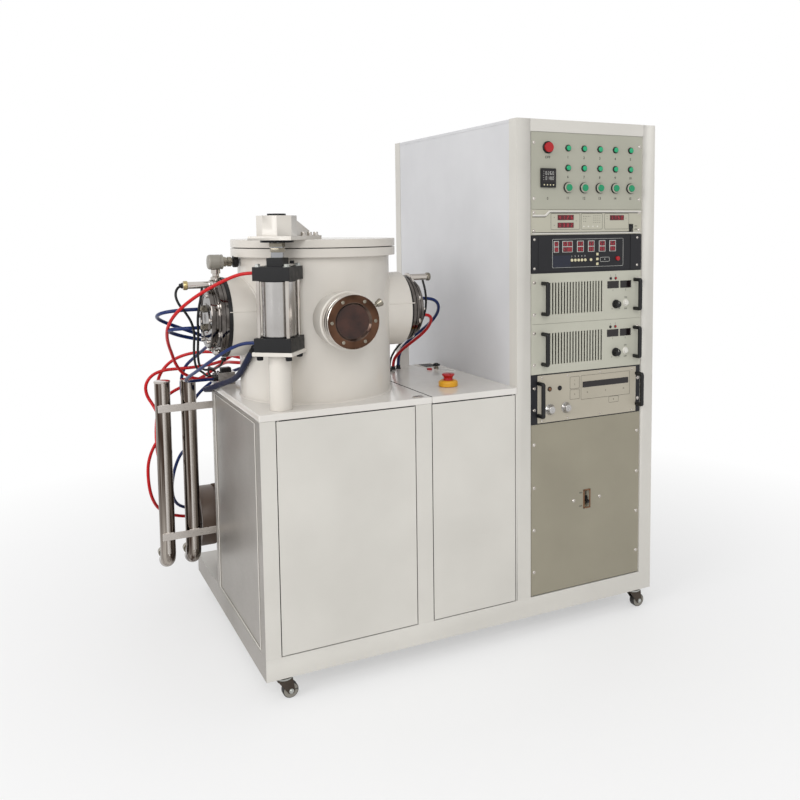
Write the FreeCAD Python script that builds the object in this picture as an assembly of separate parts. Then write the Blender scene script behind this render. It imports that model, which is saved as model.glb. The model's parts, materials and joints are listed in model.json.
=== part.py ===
import FreeCAD, Part
import math
import os
from FreeCAD import Placement, Rotation, Vector

# Arc ion plating machine: a vertical vacuum chamber with a swinging lid stands on a low
# cabinet, and a tall cabinet beside it carries a 19-inch rack of controls and supplies.
# Millimetres. While modelling, X runs right from the base's left edge, Y runs back from
# the front face and Z runs up from the floor. The export moves the origin to the middle
# of the base, at floor level.

# Overall sizes
DEPTH = 1020.0
LOW_DEPTH = 655.0
TALL_LEFT = 905.0
CASTER_HEIGHT = 75.0
BASE_RAIL = 70.0
LOW_BODY_HEIGHT = 743.0
TABLE_THICKNESS = 22.0
TABLE_SEAM = 577.0
SEAM_GAP = 1.0
BASE_TOP = CASTER_HEIGHT + BASE_RAIL
TABLE_UNDER = BASE_TOP + LOW_BODY_HEIGHT
TABLE_HEIGHT = TABLE_UNDER + TABLE_THICKNESS

# Frame tube, sheet and clearances
TUBE = 50.0
LIGHT_TUBE = 40.0
FLAT_BAR = 14.0
SHEET = 2.0
DECK_SHEET = 5.0
PANEL_INSET = 1.0
PANEL_EDGE_GAP = 1.0
TOP_MARGIN = 12.0
CLEARANCE = 0.3
RUNNING_FIT = 0.05
SEAT_FIT = 0.02
CUT_MARGIN = 1.0
PANEL_BACK = PANEL_INSET + SHEET

# 19-inch rack
RACK_UNIT_HEIGHT = 44.45
RACK_UNITS = 37
RACK_PANEL_WIDTH = 482.6
RACK_OPENING = 490.0
RACK_STILE = 55.0
RACK_HEADER = 42.35
RACK_FLOOR_GAP = 3.0
FACE_THICKNESS = 3.0
FACE_INSET = 2.0
FACE_GAP = 0.4
RAIL_LEG = 25.0
CASE_WIDTH = 430.0
CASE_SHEET = 1.5
CASE_MARGIN = 3.0
CONTROL_CASE_DEPTH = 222.0
DISPLAY_CASE_DEPTH = 267.0
SUPPLY_CASE_DEPTH = 445.0
WIDTH = TALL_LEFT + RACK_OPENING + 2 * RACK_STILE
RACK_CENTRE = TALL_LEFT + RACK_STILE + RACK_OPENING / 2
RACK_LEFT = RACK_CENTRE - RACK_PANEL_WIDTH / 2
RACK_BOTTOM = BASE_TOP + RACK_FLOOR_GAP
RACK_TOP = RACK_BOTTOM + RACK_UNITS * RACK_UNIT_HEIGHT
TALL_HEIGHT = RACK_TOP + RACK_HEADER
FACE_BACK = FACE_INSET + FACE_THICKNESS

# Doors of the low cabinet
DOOR_GAP = 3.0
DOOR_DEPTH = 20.0
DOOR_SKIN = 1.5
SIDE_STILE = 49.0
MID_STILE = 57.0
DOOR_STRIP = 9.0
LEFT_DOOR_X = (SIDE_STILE + DOOR_GAP, TABLE_SEAM - MID_STILE - 2 * DOOR_GAP)
RIGHT_DOOR_X = (TABLE_SEAM, TALL_LEFT - DOOR_STRIP)
DOOR_BOTTOM = BASE_TOP + DOOR_GAP
DOOR_TOP = TABLE_UNDER - DOOR_GAP
PIVOT_RADIUS = 3.0
PIVOT_INSET = 6.0
PIVOT_LENGTH = 16.0
PIVOT_BLOCK = 14.0

# Chamber
CHAMBER_X = 288.0
CHAMBER_Y = 320.0
CHAMBER_RADIUS = 255.0
CHAMBER_HEIGHT = 494.0
CHAMBER_WALL = 10.0
CHAMBER_FLOOR = 12.0
FLANGE_LIP = 21.0
FLANGE_THICKNESS = 27.0
SEAL_OUTSET = 7.0
SEAL_SECTION = 3.5
SEAL_GROOVE = 4.5
LID_THICKNESS = 26.0
PORT_RISE = 270.0
SIDE_PORT_RADIUS = 130.0
SIDE_PORT_WALL = 8.0
SIDE_PORT_LENGTH = 55.0
WATER_NIPPLE_RADIUS = 9.0
WATER_NIPPLE_LENGTH = 30.0
WATER_NIPPLES = ((125.0, 90.0), (118.0, 55.0))
FLANGE_RADIUS = CHAMBER_RADIUS + FLANGE_LIP
FLANGE_TOP = TABLE_HEIGHT + CHAMBER_HEIGHT
SEAL_RADIUS = CHAMBER_RADIUS + SEAL_OUTSET
PORT_HEIGHT = TABLE_HEIGHT + PORT_RISE
SIDE_PORT_REACH = CHAMBER_RADIUS + SIDE_PORT_LENGTH

# Viewing port on the front of the chamber
VIEW_PAD_RADIUS = 88.0
VIEW_PAD_LENGTH = 65.0
VIEW_FLANGE_RADIUS = 85.5
VIEW_FLANGE_DEPTH = 50.0
VIEW_BORE_RADIUS = 53.0
VIEW_CLAMP_DEPTH = 16.0
VIEW_GLASS_RADIUS = 62.0
VIEW_GLASS_THICKNESS = 8.0
VIEW_BOLTS = 6
VIEW_BOLT_TURN = 20.0
VIEW_BOLT_CIRCLE = 69.0
VIEW_BOLT_HEAD = 7.5
VIEW_BOLT_HEIGHT = 7.0
VIEW_PAD_FRONT = CHAMBER_Y - CHAMBER_RADIUS - VIEW_PAD_LENGTH

# Arc sources on the side ports
INSULATOR_LIP = 6.0
INSULATOR_LAND = 34.0
INSULATOR_THICKNESS = 12.0
SOURCE_FLANGE_STEP = 3.0
SOURCE_FLANGE_THICKNESS = 22.0
SOURCE_HOUSING_RADIUS = 98.0
SOURCE_HOUSING_LENGTH = 26.0
CATHODE_RADIUS = 60.0
CATHODE_THICKNESS = 24.0
CATHODE_STEM_RADIUS = 22.0
CATHODE_SETBACK = 70.0
STRIKER_RADIUS = 13.0
STRIKER_LENGTH = 95.0
STRIKER_OFFSET = 108.0
SOURCE_NIPPLE_RADIUS = 10.0
SOURCE_NIPPLE_LENGTH = 18.0
SOURCE_NIPPLE_OFFSET = 30.0
INSULATOR_RADIUS = SIDE_PORT_RADIUS + INSULATOR_LIP
INSULATOR_BORE = SIDE_PORT_RADIUS - INSULATOR_LAND
SOURCE_FLANGE_RADIUS = SIDE_PORT_RADIUS - SOURCE_FLANGE_STEP

# Lid lift
LIFT_ANGLE = 52.16
LIFT_STANDOFF = 74.25
LIFT_POST_RADIUS = 35.0
LIFT_PLATE_DROP = 321.0
LIFT_PLATE = 128.0
LIFT_PLATE_THICKNESS = 12.0
LIFT_CAP = 118.0
LIFT_CAP_THICKNESS = 42.0
LIFT_BARREL_LENGTH = 174.0
LIFT_BARREL_RADIUS = 51.0
LIFT_BARREL_WALL = 4.0
TIE_ROD_RADIUS = 6.0
TIE_ROD_OFFSET = 46.0
PISTON_THICKNESS = 24.0
ROD_RADIUS = 12.5
GUIDE_BLOCK = 52.0
GUIDE_HEIGHT = 26.0
ROD_NUT_RADIUS = 20.0
ROD_PLATE_RADIUS = 51.0
ROD_PLATE_THICKNESS = 7.0
SPINDLE_RADIUS = 15.0
SPINDLE_LENGTH = 55.0
ARM_PLATE_WIDTH = 137.0
ARM_PLATE_THICKNESS = 12.0
ARM_REACH = 215.0
ARM_OVERHANG = 62.0
ARM_HEAD_WIDTH = 112.0
ARM_HEAD_HEIGHT = 62.0
ARM_RIB_WIDTH = 66.0
ARM_CAP_RADIUS = 28.0
ARM_CAP_HEIGHT = 6.0
LID_BOLT_HEIGHT = 10.5
BRACKET_WIDTH = 72.0
BRACKET_THICKNESS = 6.0
BRACKET_START = 30.0
AIR_FITTING_RADIUS = 8.0
AIR_FITTING_LENGTH = 16.0

# Work holder
TURNTABLE_MARGIN = 65.0
TURNTABLE_THICKNESS = 8.0
TURNTABLE_HEIGHT = 40.0
TURNTABLE_RIM = 14.0
SHAFT_RADIUS = 15.0
HUB_RADIUS = 26.0
FEEDTHROUGH_RADIUS = 30.0
FEEDTHROUGH_LENGTH = 46.0
PULLEY_RADIUS = 42.0
PULLEY_THICKNESS = 16.0
TURNTABLE_RADIUS = CHAMBER_RADIUS - CHAMBER_WALL - TURNTABLE_MARGIN

# Cooling manifold behind the low cabinet
PIPE_RADIUS = 27.0
PIPE_RISE = 13.0
PIPE_FOOT = 108.0
PIPE_SPACING = 91.0
FIRST_PIPE_X = -168.0
ELBOW_RADIUS = 40.0
END_DISC = 1.0
STUB_RADIUS = 14.0
STUB_LENGTH = 70.0
STUB_NUT_RADIUS = 18.0
STUB_NUT_LENGTH = 22.0
MANIFOLD_BAR_HEIGHT = 26.0
MANIFOLD_BAR_THICKNESS = 6.0
MANIFOLD_BAR_LEFT = -190.0
MANIFOLD_BAR_END = 60.0
LOW_BAR_RISE = 213.0
HIGH_BAR_DROP = 60.0
HOSE_TAIL_RADIUS = 8.0
HOSE_TAIL_LENGTH = 22.0
HOSE_TAILS = 4
HOSE_TAIL_PITCH = 90.0
RED_TAIL_DROP = 53.0
BLUE_TAIL_DROP = 103.0
PIPE_TOP = TABLE_HEIGHT + PIPE_RISE
PIPE_BOTTOM = BASE_TOP + PIPE_FOOT
MANIFOLD_BAR_Z = (BASE_TOP + LOW_BAR_RISE, TABLE_UNDER - HIGH_BAR_DROP)

# Vacuum pump on the rear deck
MOTOR_RADIUS = 108.0
MOTOR_COWL_RADIUS = 114.0
MOTOR_COWL_LENGTH = 60.0
MOTOR_LEFT = -35.0
MOTOR_LENGTH = 270.0
MOTOR_SETBACK = 175.0
MOTOR_RISE = 218.0
PUMP_LENGTH = 330.0
PUMP_WIDTH = 210.0
PUMP_BODY_HEIGHT = 330.0
PUMP_FOOT_HEIGHT = 12.0
PUMP_PORT_RADIUS = 30.0
PUMP_PORT_RISE = 120.0
MOTOR_Y = LOW_DEPTH + MOTOR_SETBACK
MOTOR_AXIS_Z = BASE_TOP + MOTOR_RISE

# Casters
CASTER_INSET = 62.0
WHEEL_RADIUS = 25.0
WHEEL_WIDTH = 24.0
WHEEL_TRAIL = 18.0
FORK_THICKNESS = 3.0
FORK_WIDTH = 34.0
FORK_TOP = 64.0
AXLE_RADIUS = 4.0
SWIVEL_RADIUS = 9.0
SWIVEL_HEAD_RADIUS = 24.0
SWIVEL_HEAD_HEIGHT = 8.0
SWIVEL_LENGTH = 30.0

# Stop button on the table
ESTOP_X = 714.0
ESTOP_Y = 152.0
ESTOP_COLLAR_RADIUS = 34.0
ESTOP_COLLAR_HEIGHT = 22.0
ESTOP_HEAD_RADIUS = 22.0
ESTOP_HEAD_HEIGHT = 16.0
ESTOP_STEM_RADIUS = 11.0
ESTOP_NECK = 8.0

# Controls on the rack, measured from each panel's left edge and top edge
STOP_BUTTON = (68.0, 53.0, 17.0)
START_FIRST_X = 153.0
START_PITCH = 69.0
START_Z = 190.0
START_RADIUS = 12.0
BEZEL_RADIUS = 17.0
BEZEL_HEIGHT = 9.0
LAMP_ROWS = (53.0, 121.6)
LAMP_RADIUS = 11.0
LAMP_HEIGHT = 9.0
BUTTON_PROUD = 4.0
BUTTON_TRAVEL = 4.0
BUTTON_STEM = 24.0
CONTROLLER = (68.0, 158.0, 62.0, 66.0, 8.0)
SUPPLY_KNOB = (367.0, 122.0, 16.0)
SUPPLY_SWITCH = (413.0, 119.0, 9.0)
KNOB_HEIGHT = 20.0
KNOB_SKIRT = 5.0
KNOB_SKIRT_STEP = 3.5
KNOB_SHAFT_RADIUS = 3.0
KNOB_SHAFT_LENGTH = 22.0
GAUGE_KNOBS = ((77.0, 128.0, 20.0), (146.0, 128.0, 20.0))
RESET_BUTTON = (372.0, 88.0, 8.0)
ROCKER = (434.0, 67.0, 13.0, 24.0)
ROCKER_PIVOT_DEPTH = 5.0
ROCKER_RAISED_ANGLE = 50.0
ROCKER_PRESSED_ANGLE = 80.0
BREAKER = (241.3, 300.0, 22.0, 62.0)
BREAKER_LEVER = 12.0
BREAKER_REST_ANGLE = 25.0
BREAKER_CASE = (88.0, 66.0, 124.0)
VENTS = 19
VENT_FIRST = 75.0
VENT_PITCH = 12.5
VENT_WIDTH = 6.0
VENT_TOP = 34.0
VENT_HEIGHT = 112.0
HANDLE_SECTION = 13.0
HANDLE_REACH = 42.0
SUPPLY_HANDLES_X = (46.0, 452.0)
SUPPLY_HANDLE_Z = (28.0, 148.0)
GAUGE_HANDLES_X = (28.0, 464.0)
GAUGE_HANDLE_Z = (24.0, 152.0)

# Air valve behind the chamber
VALVE_X = 40.0
VALVE_SETBACK = 55.0
VALVE_SIZE = (60.0, 40.0, 44.0)
VALVE_Y = LOW_DEPTH - VALVE_SETBACK

# Hoses: outer diameters, the share of a run that each bend may take at either end, and the
# straight runs that leave the fittings
AIR_HOSE = 11.0
WATER_HOSE = 12.0
BEND_SHARE = 0.45
AIR_PORT_RUN = 37.0
NIPPLE_RUN = 55.0
VALVE_RUN = 45.0

# Values that several pieces share
SOURCE_FACE = SIDE_PORT_REACH + INSULATOR_THICKNESS + SOURCE_FLANGE_THICKNESS + SOURCE_HOUSING_LENGTH
LID_BOTTOM = FLANGE_TOP - SEAL_GROOVE + 2 * SEAL_SECTION + CLEARANCE
LID_TOP = LID_BOTTOM + LID_THICKNESS
LIFT_POST_TOP = FLANGE_TOP - LIFT_PLATE_DROP
LIFT_CAP_BOTTOM = LIFT_POST_TOP + LIFT_PLATE_THICKNESS
LIFT_BARREL_BOTTOM = LIFT_CAP_BOTTOM + LIFT_CAP_THICKNESS
LIFT_BARREL_TOP = LIFT_BARREL_BOTTOM + LIFT_BARREL_LENGTH
LIFT_TOP = LIFT_BARREL_TOP + LIFT_CAP_THICKNESS
ARM_UNDER = LID_TOP
ROD_PLATE_TOP = ARM_UNDER - CLEARANCE
LIFT_TO_CHAMBER = CHAMBER_RADIUS + LIFT_STANDOFF
LIFT_X = CHAMBER_X - LIFT_TO_CHAMBER * math.cos(math.radians(LIFT_ANGLE))
LIFT_Y = CHAMBER_Y - LIFT_TO_CHAMBER * math.sin(math.radians(LIFT_ANGLE))
PIPE_Y = LOW_DEPTH + MANIFOLD_BAR_THICKNESS + PIPE_RADIUS
PIPES_X = (FIRST_PIPE_X, FIRST_PIPE_X + PIPE_SPACING)
VIEW_FRONT = VIEW_PAD_FRONT - VIEW_FLANGE_DEPTH
FRONT_REACH = -VIEW_FRONT + VIEW_BOLT_HEIGHT

# The origin lies under the middle of the rigid pieces
ORIGIN_X = (FIRST_PIPE_X - PIPE_RADIUS + WIDTH) / 2
ORIGIN_Y = (DEPTH - FRONT_REACH) / 2

X_AXIS = Vector(1, 0, 0)
Y_AXIS = Vector(0, 1, 0)
Z_AXIS = Vector(0, 0, 1)


def block(x0, x1, y0, y1, z0, z1):
    return Part.makeBox(x1 - x0, y1 - y0, z1 - z0, Vector(x0, y0, z0))


def rod(radius, length, start, axis=Z_AXIS):
    return Part.makeCylinder(radius, length, Vector(*start), axis)


def tube(outer, inner, length, start, axis=Z_AXIS):
    return rod(outer, length, start, axis).cut(rod(inner, length, start, axis))


def fuse(shapes):
    whole = shapes[0]
    for shape in shapes[1:]:
        whole = whole.fuse(shape)
    return whole.removeSplitter()


def group(shapes):
    return Part.makeCompound(shapes)


def turned(shape, degrees, centre, axis=Z_AXIS):
    copy = shape.copy()
    copy.rotate(Vector(*centre), axis, degrees)
    return copy


def at_lift(shape):
    """Moves a shape drawn about the origin, with +X towards the chamber, to the lift axis."""
    copy = shape.copy()
    copy.Placement = Placement(Vector(LIFT_X, LIFT_Y, 0), Rotation(Z_AXIS, LIFT_ANGLE))
    return copy


def lift_point(u, v, z):
    return Placement(Vector(LIFT_X, LIFT_Y, 0), Rotation(Z_AXIS, LIFT_ANGLE)).multVec(Vector(u, v, z))


def radial_point(degrees, radius, z):
    angle = math.radians(degrees)
    return Vector(CHAMBER_X + radius * math.cos(angle), CHAMBER_Y + radius * math.sin(angle), z)


def base_frame():
    z = (CASTER_HEIGHT, BASE_TOP)
    inner_y = (TUBE, DEPTH - TUBE)
    rails = [
        block(0, WIDTH, 0, TUBE, *z),
        block(0, WIDTH, DEPTH - TUBE, DEPTH, *z),
        block(0, TUBE, *inner_y, *z),
        block(TALL_LEFT, TALL_LEFT + TUBE, *inner_y, *z),
        block(WIDTH - TUBE, WIDTH, *inner_y, *z),
        block(TUBE, TALL_LEFT, LOW_DEPTH - TUBE, LOW_DEPTH, *z),
    ]
    sockets = [rod(SWIVEL_RADIUS + RUNNING_FIT, SWIVEL_LENGTH, (x, y, CASTER_HEIGHT))
               for x, y in caster_places()]
    rails = [rail.cut(sockets) for rail in rails]
    deck_z = (BASE_TOP - DECK_SHEET, BASE_TOP)
    decks = [
        block(TUBE, TALL_LEFT, TUBE, LOW_DEPTH - TUBE, *deck_z),
        block(TUBE, TALL_LEFT, LOW_DEPTH, DEPTH - TUBE, *deck_z),
        block(TALL_LEFT + TUBE, WIDTH - TUBE, *inner_y, *deck_z),
    ]
    return group(rails + decks)


def caster_places():
    xs = (CASTER_INSET, WIDTH - CASTER_INSET)
    ys = (TUBE / 2, DEPTH - TUBE / 2)
    return [(x, y) for y in ys for x in xs]


def door_pivots():
    left = LEFT_DOOR_X[0] + PIVOT_INSET
    right = RIGHT_DOOR_X[1] - PIVOT_INSET
    return left, right


def pivot_pins(x):
    reach = DOOR_GAP + PIVOT_LENGTH
    return [
        rod(PIVOT_RADIUS, reach, (x, PIVOT_INSET, BASE_TOP)),
        rod(PIVOT_RADIUS, reach, (x, PIVOT_INSET, TABLE_UNDER - reach)),
    ]


def cabinet_frame():
    mid_stile = (LEFT_DOOR_X[1] + DOOR_GAP, RIGHT_DOOR_X[0] - DOOR_GAP)
    right_strip = RIGHT_DOOR_X[1] + DOOR_GAP
    low_z = (BASE_TOP, TABLE_UNDER)
    rail_z = (TABLE_UNDER - LIGHT_TUBE, TABLE_UNDER)
    rear_y = (LOW_DEPTH - PANEL_BACK - LIGHT_TUBE, LOW_DEPTH - PANEL_BACK)
    beam_y = (TUBE, rear_y[0])
    parts = [
        block(0, SIDE_STILE, 0, TUBE, *low_z),
        block(*mid_stile, 0, TUBE, *low_z),
        block(right_strip, TALL_LEFT, 0, DOOR_DEPTH, *low_z),
        block(0, LIGHT_TUBE, LOW_DEPTH - PANEL_BACK - FLAT_BAR, LOW_DEPTH - PANEL_BACK, *low_z),
        block(SIDE_STILE, mid_stile[0], DOOR_DEPTH + DOOR_GAP, TUBE, *rail_z),
        block(mid_stile[1], TALL_LEFT, DOOR_DEPTH + DOOR_GAP, TUBE, *rail_z),
        block(LIGHT_TUBE, TALL_LEFT, *rear_y, *rail_z),
        block(PANEL_BACK, LIGHT_TUBE, TUBE, LOW_DEPTH - PANEL_BACK - FLAT_BAR, *rail_z),
    ]
    for x in (CHAMBER_X - CHAMBER_RADIUS / 2, CHAMBER_X + CHAMBER_RADIUS / 2, mid_stile[0]):
        parts.append(block(x, x + LIGHT_TUBE, *beam_y, *rail_z))
    parts += rack_posts()
    for x in door_pivots():
        parts += pivot_pins(x)
    return group(parts)


def rack_posts():
    right_stile = WIDTH - RACK_STILE
    z = (BASE_TOP, TALL_HEIGHT)
    top_z = (TALL_HEIGHT - LIGHT_TUBE, TALL_HEIGHT)
    rear_y = (DEPTH - TUBE, DEPTH - PANEL_BACK)
    opening_x = (TALL_LEFT + RACK_STILE, right_stile)
    side_y = (TUBE, DEPTH - TUBE)
    side_z = (TALL_HEIGHT - LIGHT_TUBE, TALL_HEIGHT - TOP_MARGIN)
    posts = [
        block(TALL_LEFT, opening_x[0], 0, TUBE, *z),
        block(right_stile, WIDTH, 0, TUBE, *z),
        block(TALL_LEFT, TALL_LEFT + TUBE, DEPTH - TUBE, DEPTH, *z),
        block(WIDTH - TUBE, WIDTH, DEPTH - TUBE, DEPTH, *z),
        block(*opening_x, 0, TUBE, RACK_TOP, TALL_HEIGHT),
        block(TALL_LEFT + TUBE, WIDTH - TUBE, *rear_y, *top_z),
        block(TALL_LEFT + PANEL_BACK, TALL_LEFT + LIGHT_TUBE, *side_y, *side_z),
        block(WIDTH - LIGHT_TUBE, WIDTH - PANEL_BACK, *side_y, *side_z),
    ]
    rail_z = (RACK_BOTTOM, RACK_TOP)
    for x, leg in ((opening_x[0], opening_x[0]), (opening_x[1] - RAIL_LEG, opening_x[1] - SHEET)):
        flange = block(x, x + RAIL_LEG, FACE_BACK, FACE_BACK + SHEET, *rail_z)
        web = block(leg, leg + SHEET, FACE_BACK, TUBE, *rail_z)
        posts.append(fuse([flange, web]))
    return posts


def cabinet_panels():
    gap = PANEL_EDGE_GAP
    low_z = (BASE_TOP + gap, TABLE_UNDER - gap)
    low_y = (TUBE + gap, LOW_DEPTH - PANEL_BACK - FLAT_BAR - gap)
    tall_y = (TUBE + gap, DEPTH - TUBE - gap)
    tall_z = (BASE_TOP + gap, TALL_HEIGHT - TOP_MARGIN)
    return group([
        block(PANEL_INSET, PANEL_BACK, *low_y, *low_z),
        block(0, TALL_LEFT, LOW_DEPTH - PANEL_BACK, LOW_DEPTH - PANEL_INSET, *low_z),
        block(TALL_LEFT + PANEL_INSET, TALL_LEFT + PANEL_BACK, *tall_y, *tall_z),
        block(WIDTH - PANEL_BACK, WIDTH - PANEL_INSET, *tall_y, *tall_z),
        rear_panel(tall_z),
        top_cover(tall_y),
    ])


def rear_panel(tall_z):
    left = TALL_LEFT + TUBE + PANEL_EDGE_GAP
    right = WIDTH - TUBE - PANEL_EDGE_GAP
    panel = block(left, right, DEPTH - PANEL_BACK, DEPTH - PANEL_INSET, *tall_z)
    slots = []
    for row in range(VENTS):
        z = tall_z[1] - 2 * TUBE - 2 * row * VENT_PITCH
        slots.append(block(left + RAIL_LEG, right - RAIL_LEG, DEPTH - TUBE, DEPTH, z, z + VENT_WIDTH))
    return panel.cut(slots)


def top_cover(cover_y):
    """A shallow tray turned upside down, over the top frame."""
    bottom = TALL_HEIGHT - TOP_MARGIN
    top = TALL_HEIGHT - PANEL_INSET
    skirt = LIGHT_TUBE + SHEET
    cover = block(TALL_LEFT, WIDTH, *cover_y, bottom, top)
    return cover.cut(block(TALL_LEFT + skirt, WIDTH - skirt, *cover_y, bottom, top - SHEET))


def table_plates():
    z = (TABLE_UNDER, TABLE_HEIGHT)
    chamber_plate = block(0, TABLE_SEAM - SEAM_GAP / 2, 0, LOW_DEPTH, *z)
    service_plate = block(TABLE_SEAM + SEAM_GAP / 2, TALL_LEFT, 0, LOW_DEPTH, *z)
    shaft_hole = rod(FEEDTHROUGH_RADIUS + CLEARANCE, TABLE_THICKNESS, (CHAMBER_X, CHAMBER_Y, z[0]))
    stop_hole = rod(ESTOP_STEM_RADIUS + CLEARANCE, TABLE_THICKNESS, (ESTOP_X, ESTOP_Y, z[0]))
    return group([chamber_plate.cut(shaft_hole), service_plate.cut(stop_hole)])


def side_port(side, radius):
    """A rod through the side port; side is -1 for left and +1 for right."""
    return rod(radius, SIDE_PORT_REACH, (CHAMBER_X, CHAMBER_Y, PORT_HEIGHT), X_AXIS * side)


def chamber_body():
    centre = (CHAMBER_X, CHAMBER_Y)
    inner = CHAMBER_RADIUS - CHAMBER_WALL
    outside = fuse([
        rod(CHAMBER_RADIUS, FLANGE_TOP - TABLE_HEIGHT, (*centre, TABLE_HEIGHT)),
        rod(FLANGE_RADIUS, FLANGE_THICKNESS, (*centre, FLANGE_TOP - FLANGE_THICKNESS)),
        side_port(-1, SIDE_PORT_RADIUS),
        side_port(1, SIDE_PORT_RADIUS),
        rod(VIEW_PAD_RADIUS, CHAMBER_Y - VIEW_PAD_FRONT, (CHAMBER_X, VIEW_PAD_FRONT, PORT_HEIGHT), Y_AXIS),
        rod(FEEDTHROUGH_RADIUS, FEEDTHROUGH_LENGTH, (*centre, TABLE_HEIGHT - FEEDTHROUGH_LENGTH)),
    ])
    floor_top = TABLE_HEIGHT + CHAMBER_FLOOR
    hollow = [
        rod(inner, FLANGE_TOP - floor_top, (*centre, floor_top)),
        side_port(-1, SIDE_PORT_RADIUS - SIDE_PORT_WALL),
        side_port(1, SIDE_PORT_RADIUS - SIDE_PORT_WALL),
        rod(VIEW_BORE_RADIUS, CHAMBER_Y - VIEW_PAD_FRONT, (CHAMBER_X, VIEW_PAD_FRONT, PORT_HEIGHT), Y_AXIS),
        rod(SHAFT_RADIUS + RUNNING_FIT, FEEDTHROUGH_LENGTH + CHAMBER_FLOOR,
            (*centre, TABLE_HEIGHT - FEEDTHROUGH_LENGTH)),
        tube(SEAL_RADIUS + SEAL_SECTION, SEAL_RADIUS - SEAL_SECTION, SEAL_GROOVE,
             (*centre, FLANGE_TOP - SEAL_GROOVE)),
    ]
    body = outside.cut(hollow)
    nipples = [nipple(degrees, rise) for degrees, rise in WATER_NIPPLES]
    return fuse([body] + nipples)


def nipple(degrees, rise):
    """A cooling water nipple on the rear wall, at an angle round the chamber and a height."""
    start = radial_point(degrees, CHAMBER_RADIUS - CHAMBER_WALL / 2, TABLE_HEIGHT + rise)
    end = radial_point(degrees, CHAMBER_RADIUS + WATER_NIPPLE_LENGTH, TABLE_HEIGHT + rise)
    return rod(WATER_NIPPLE_RADIUS, (end - start).Length, start, end - start)


def chamber_seal():
    z = FLANGE_TOP - SEAL_GROOVE + SEAL_SECTION
    return Part.makeTorus(SEAL_RADIUS, SEAL_SECTION - SEAT_FIT, Vector(CHAMBER_X, CHAMBER_Y, z), Z_AXIS)


def viewport_flange():
    x, z = CHAMBER_X, PORT_HEIGHT
    clamp_back = VIEW_FRONT + VIEW_CLAMP_DEPTH
    glass_front = clamp_back - VIEW_GLASS_THICKNESS
    clamp = tube(VIEW_FLANGE_RADIUS, VIEW_BORE_RADIUS, VIEW_CLAMP_DEPTH, (x, VIEW_FRONT, z), Y_AXIS)
    clamp = clamp.cut(rod(VIEW_GLASS_RADIUS, VIEW_GLASS_THICKNESS, (x, glass_front, z), Y_AXIS))
    body = tube(VIEW_FLANGE_RADIUS, VIEW_BORE_RADIUS, VIEW_FLANGE_DEPTH - VIEW_CLAMP_DEPTH,
                (x, clamp_back, z), Y_AXIS)
    bolts = []
    for turn in range(VIEW_BOLTS):
        angle = math.radians(VIEW_BOLT_TURN + turn * 360 / VIEW_BOLTS)
        bx = x + VIEW_BOLT_CIRCLE * math.cos(angle)
        bz = z + VIEW_BOLT_CIRCLE * math.sin(angle)
        head = (bx, VIEW_FRONT - VIEW_BOLT_HEIGHT, bz)
        bolts.append(rod(VIEW_BOLT_HEAD, VIEW_BOLT_HEIGHT, head, Y_AXIS))
    return group([clamp, body] + bolts)


def viewport_glass():
    y = VIEW_FRONT + VIEW_CLAMP_DEPTH - VIEW_GLASS_THICKNESS
    return rod(VIEW_GLASS_RADIUS - SEAT_FIT, VIEW_GLASS_THICKNESS, (CHAMBER_X, y, PORT_HEIGHT), Y_AXIS)


def source_insulators():
    rings = []
    for side in (-1, 1):
        start = (CHAMBER_X + side * SIDE_PORT_REACH, CHAMBER_Y, PORT_HEIGHT)
        rings.append(tube(INSULATOR_RADIUS, INSULATOR_BORE, INSULATOR_THICKNESS, start, X_AXIS * side))
    return group(rings)


def arc_source(side):
    """Stainless flange, housing, inner cathode on its stem, water nipple and striker."""
    axis = X_AXIS * side

    def along(distance, radius, length, up=0.0):
        start = (CHAMBER_X + side * distance, CHAMBER_Y, PORT_HEIGHT + up)
        return rod(radius, length, start, axis)

    flange_start = SIDE_PORT_REACH + INSULATOR_THICKNESS
    housing_start = flange_start + SOURCE_FLANGE_THICKNESS
    cathode_start = SIDE_PORT_REACH - CATHODE_SETBACK
    main = fuse([
        along(flange_start, SOURCE_FLANGE_RADIUS, SOURCE_FLANGE_THICKNESS),
        along(housing_start, SOURCE_HOUSING_RADIUS, SOURCE_HOUSING_LENGTH),
        along(cathode_start, CATHODE_STEM_RADIUS, flange_start - cathode_start),
        along(cathode_start, CATHODE_RADIUS, CATHODE_THICKNESS),
        along(SOURCE_FACE, SOURCE_NIPPLE_RADIUS, SOURCE_NIPPLE_LENGTH, SOURCE_NIPPLE_OFFSET),
        along(SOURCE_FACE, SOURCE_NIPPLE_RADIUS, SOURCE_NIPPLE_LENGTH, -SOURCE_NIPPLE_OFFSET),
    ])
    striker = along(housing_start, STRIKER_RADIUS, STRIKER_LENGTH, STRIKER_OFFSET)
    return [main, striker]


def arc_sources():
    return group(arc_source(-1) + arc_source(1))


def lift_supports():
    post = rod(LIFT_POST_RADIUS, LIFT_POST_TOP - TABLE_HEIGHT, (0, 0, TABLE_HEIGHT))
    half = LIFT_PLATE / 2
    plate = block(-half, half, -half, half, LIFT_POST_TOP, LIFT_CAP_BOTTOM)
    bracket = block(BRACKET_START, LIFT_TO_CHAMBER, -BRACKET_WIDTH / 2, BRACKET_WIDTH / 2,
                    LIFT_TOP, LIFT_TOP + BRACKET_THICKNESS)
    wall = rod(CHAMBER_RADIUS + SEAT_FIT, CHAMBER_HEIGHT, (LIFT_TO_CHAMBER, 0, TABLE_HEIGHT))
    return group([
        at_lift(fuse([post, plate]).cut(wall)),
        at_lift(bracket.cut(wall)),
    ])


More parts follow.
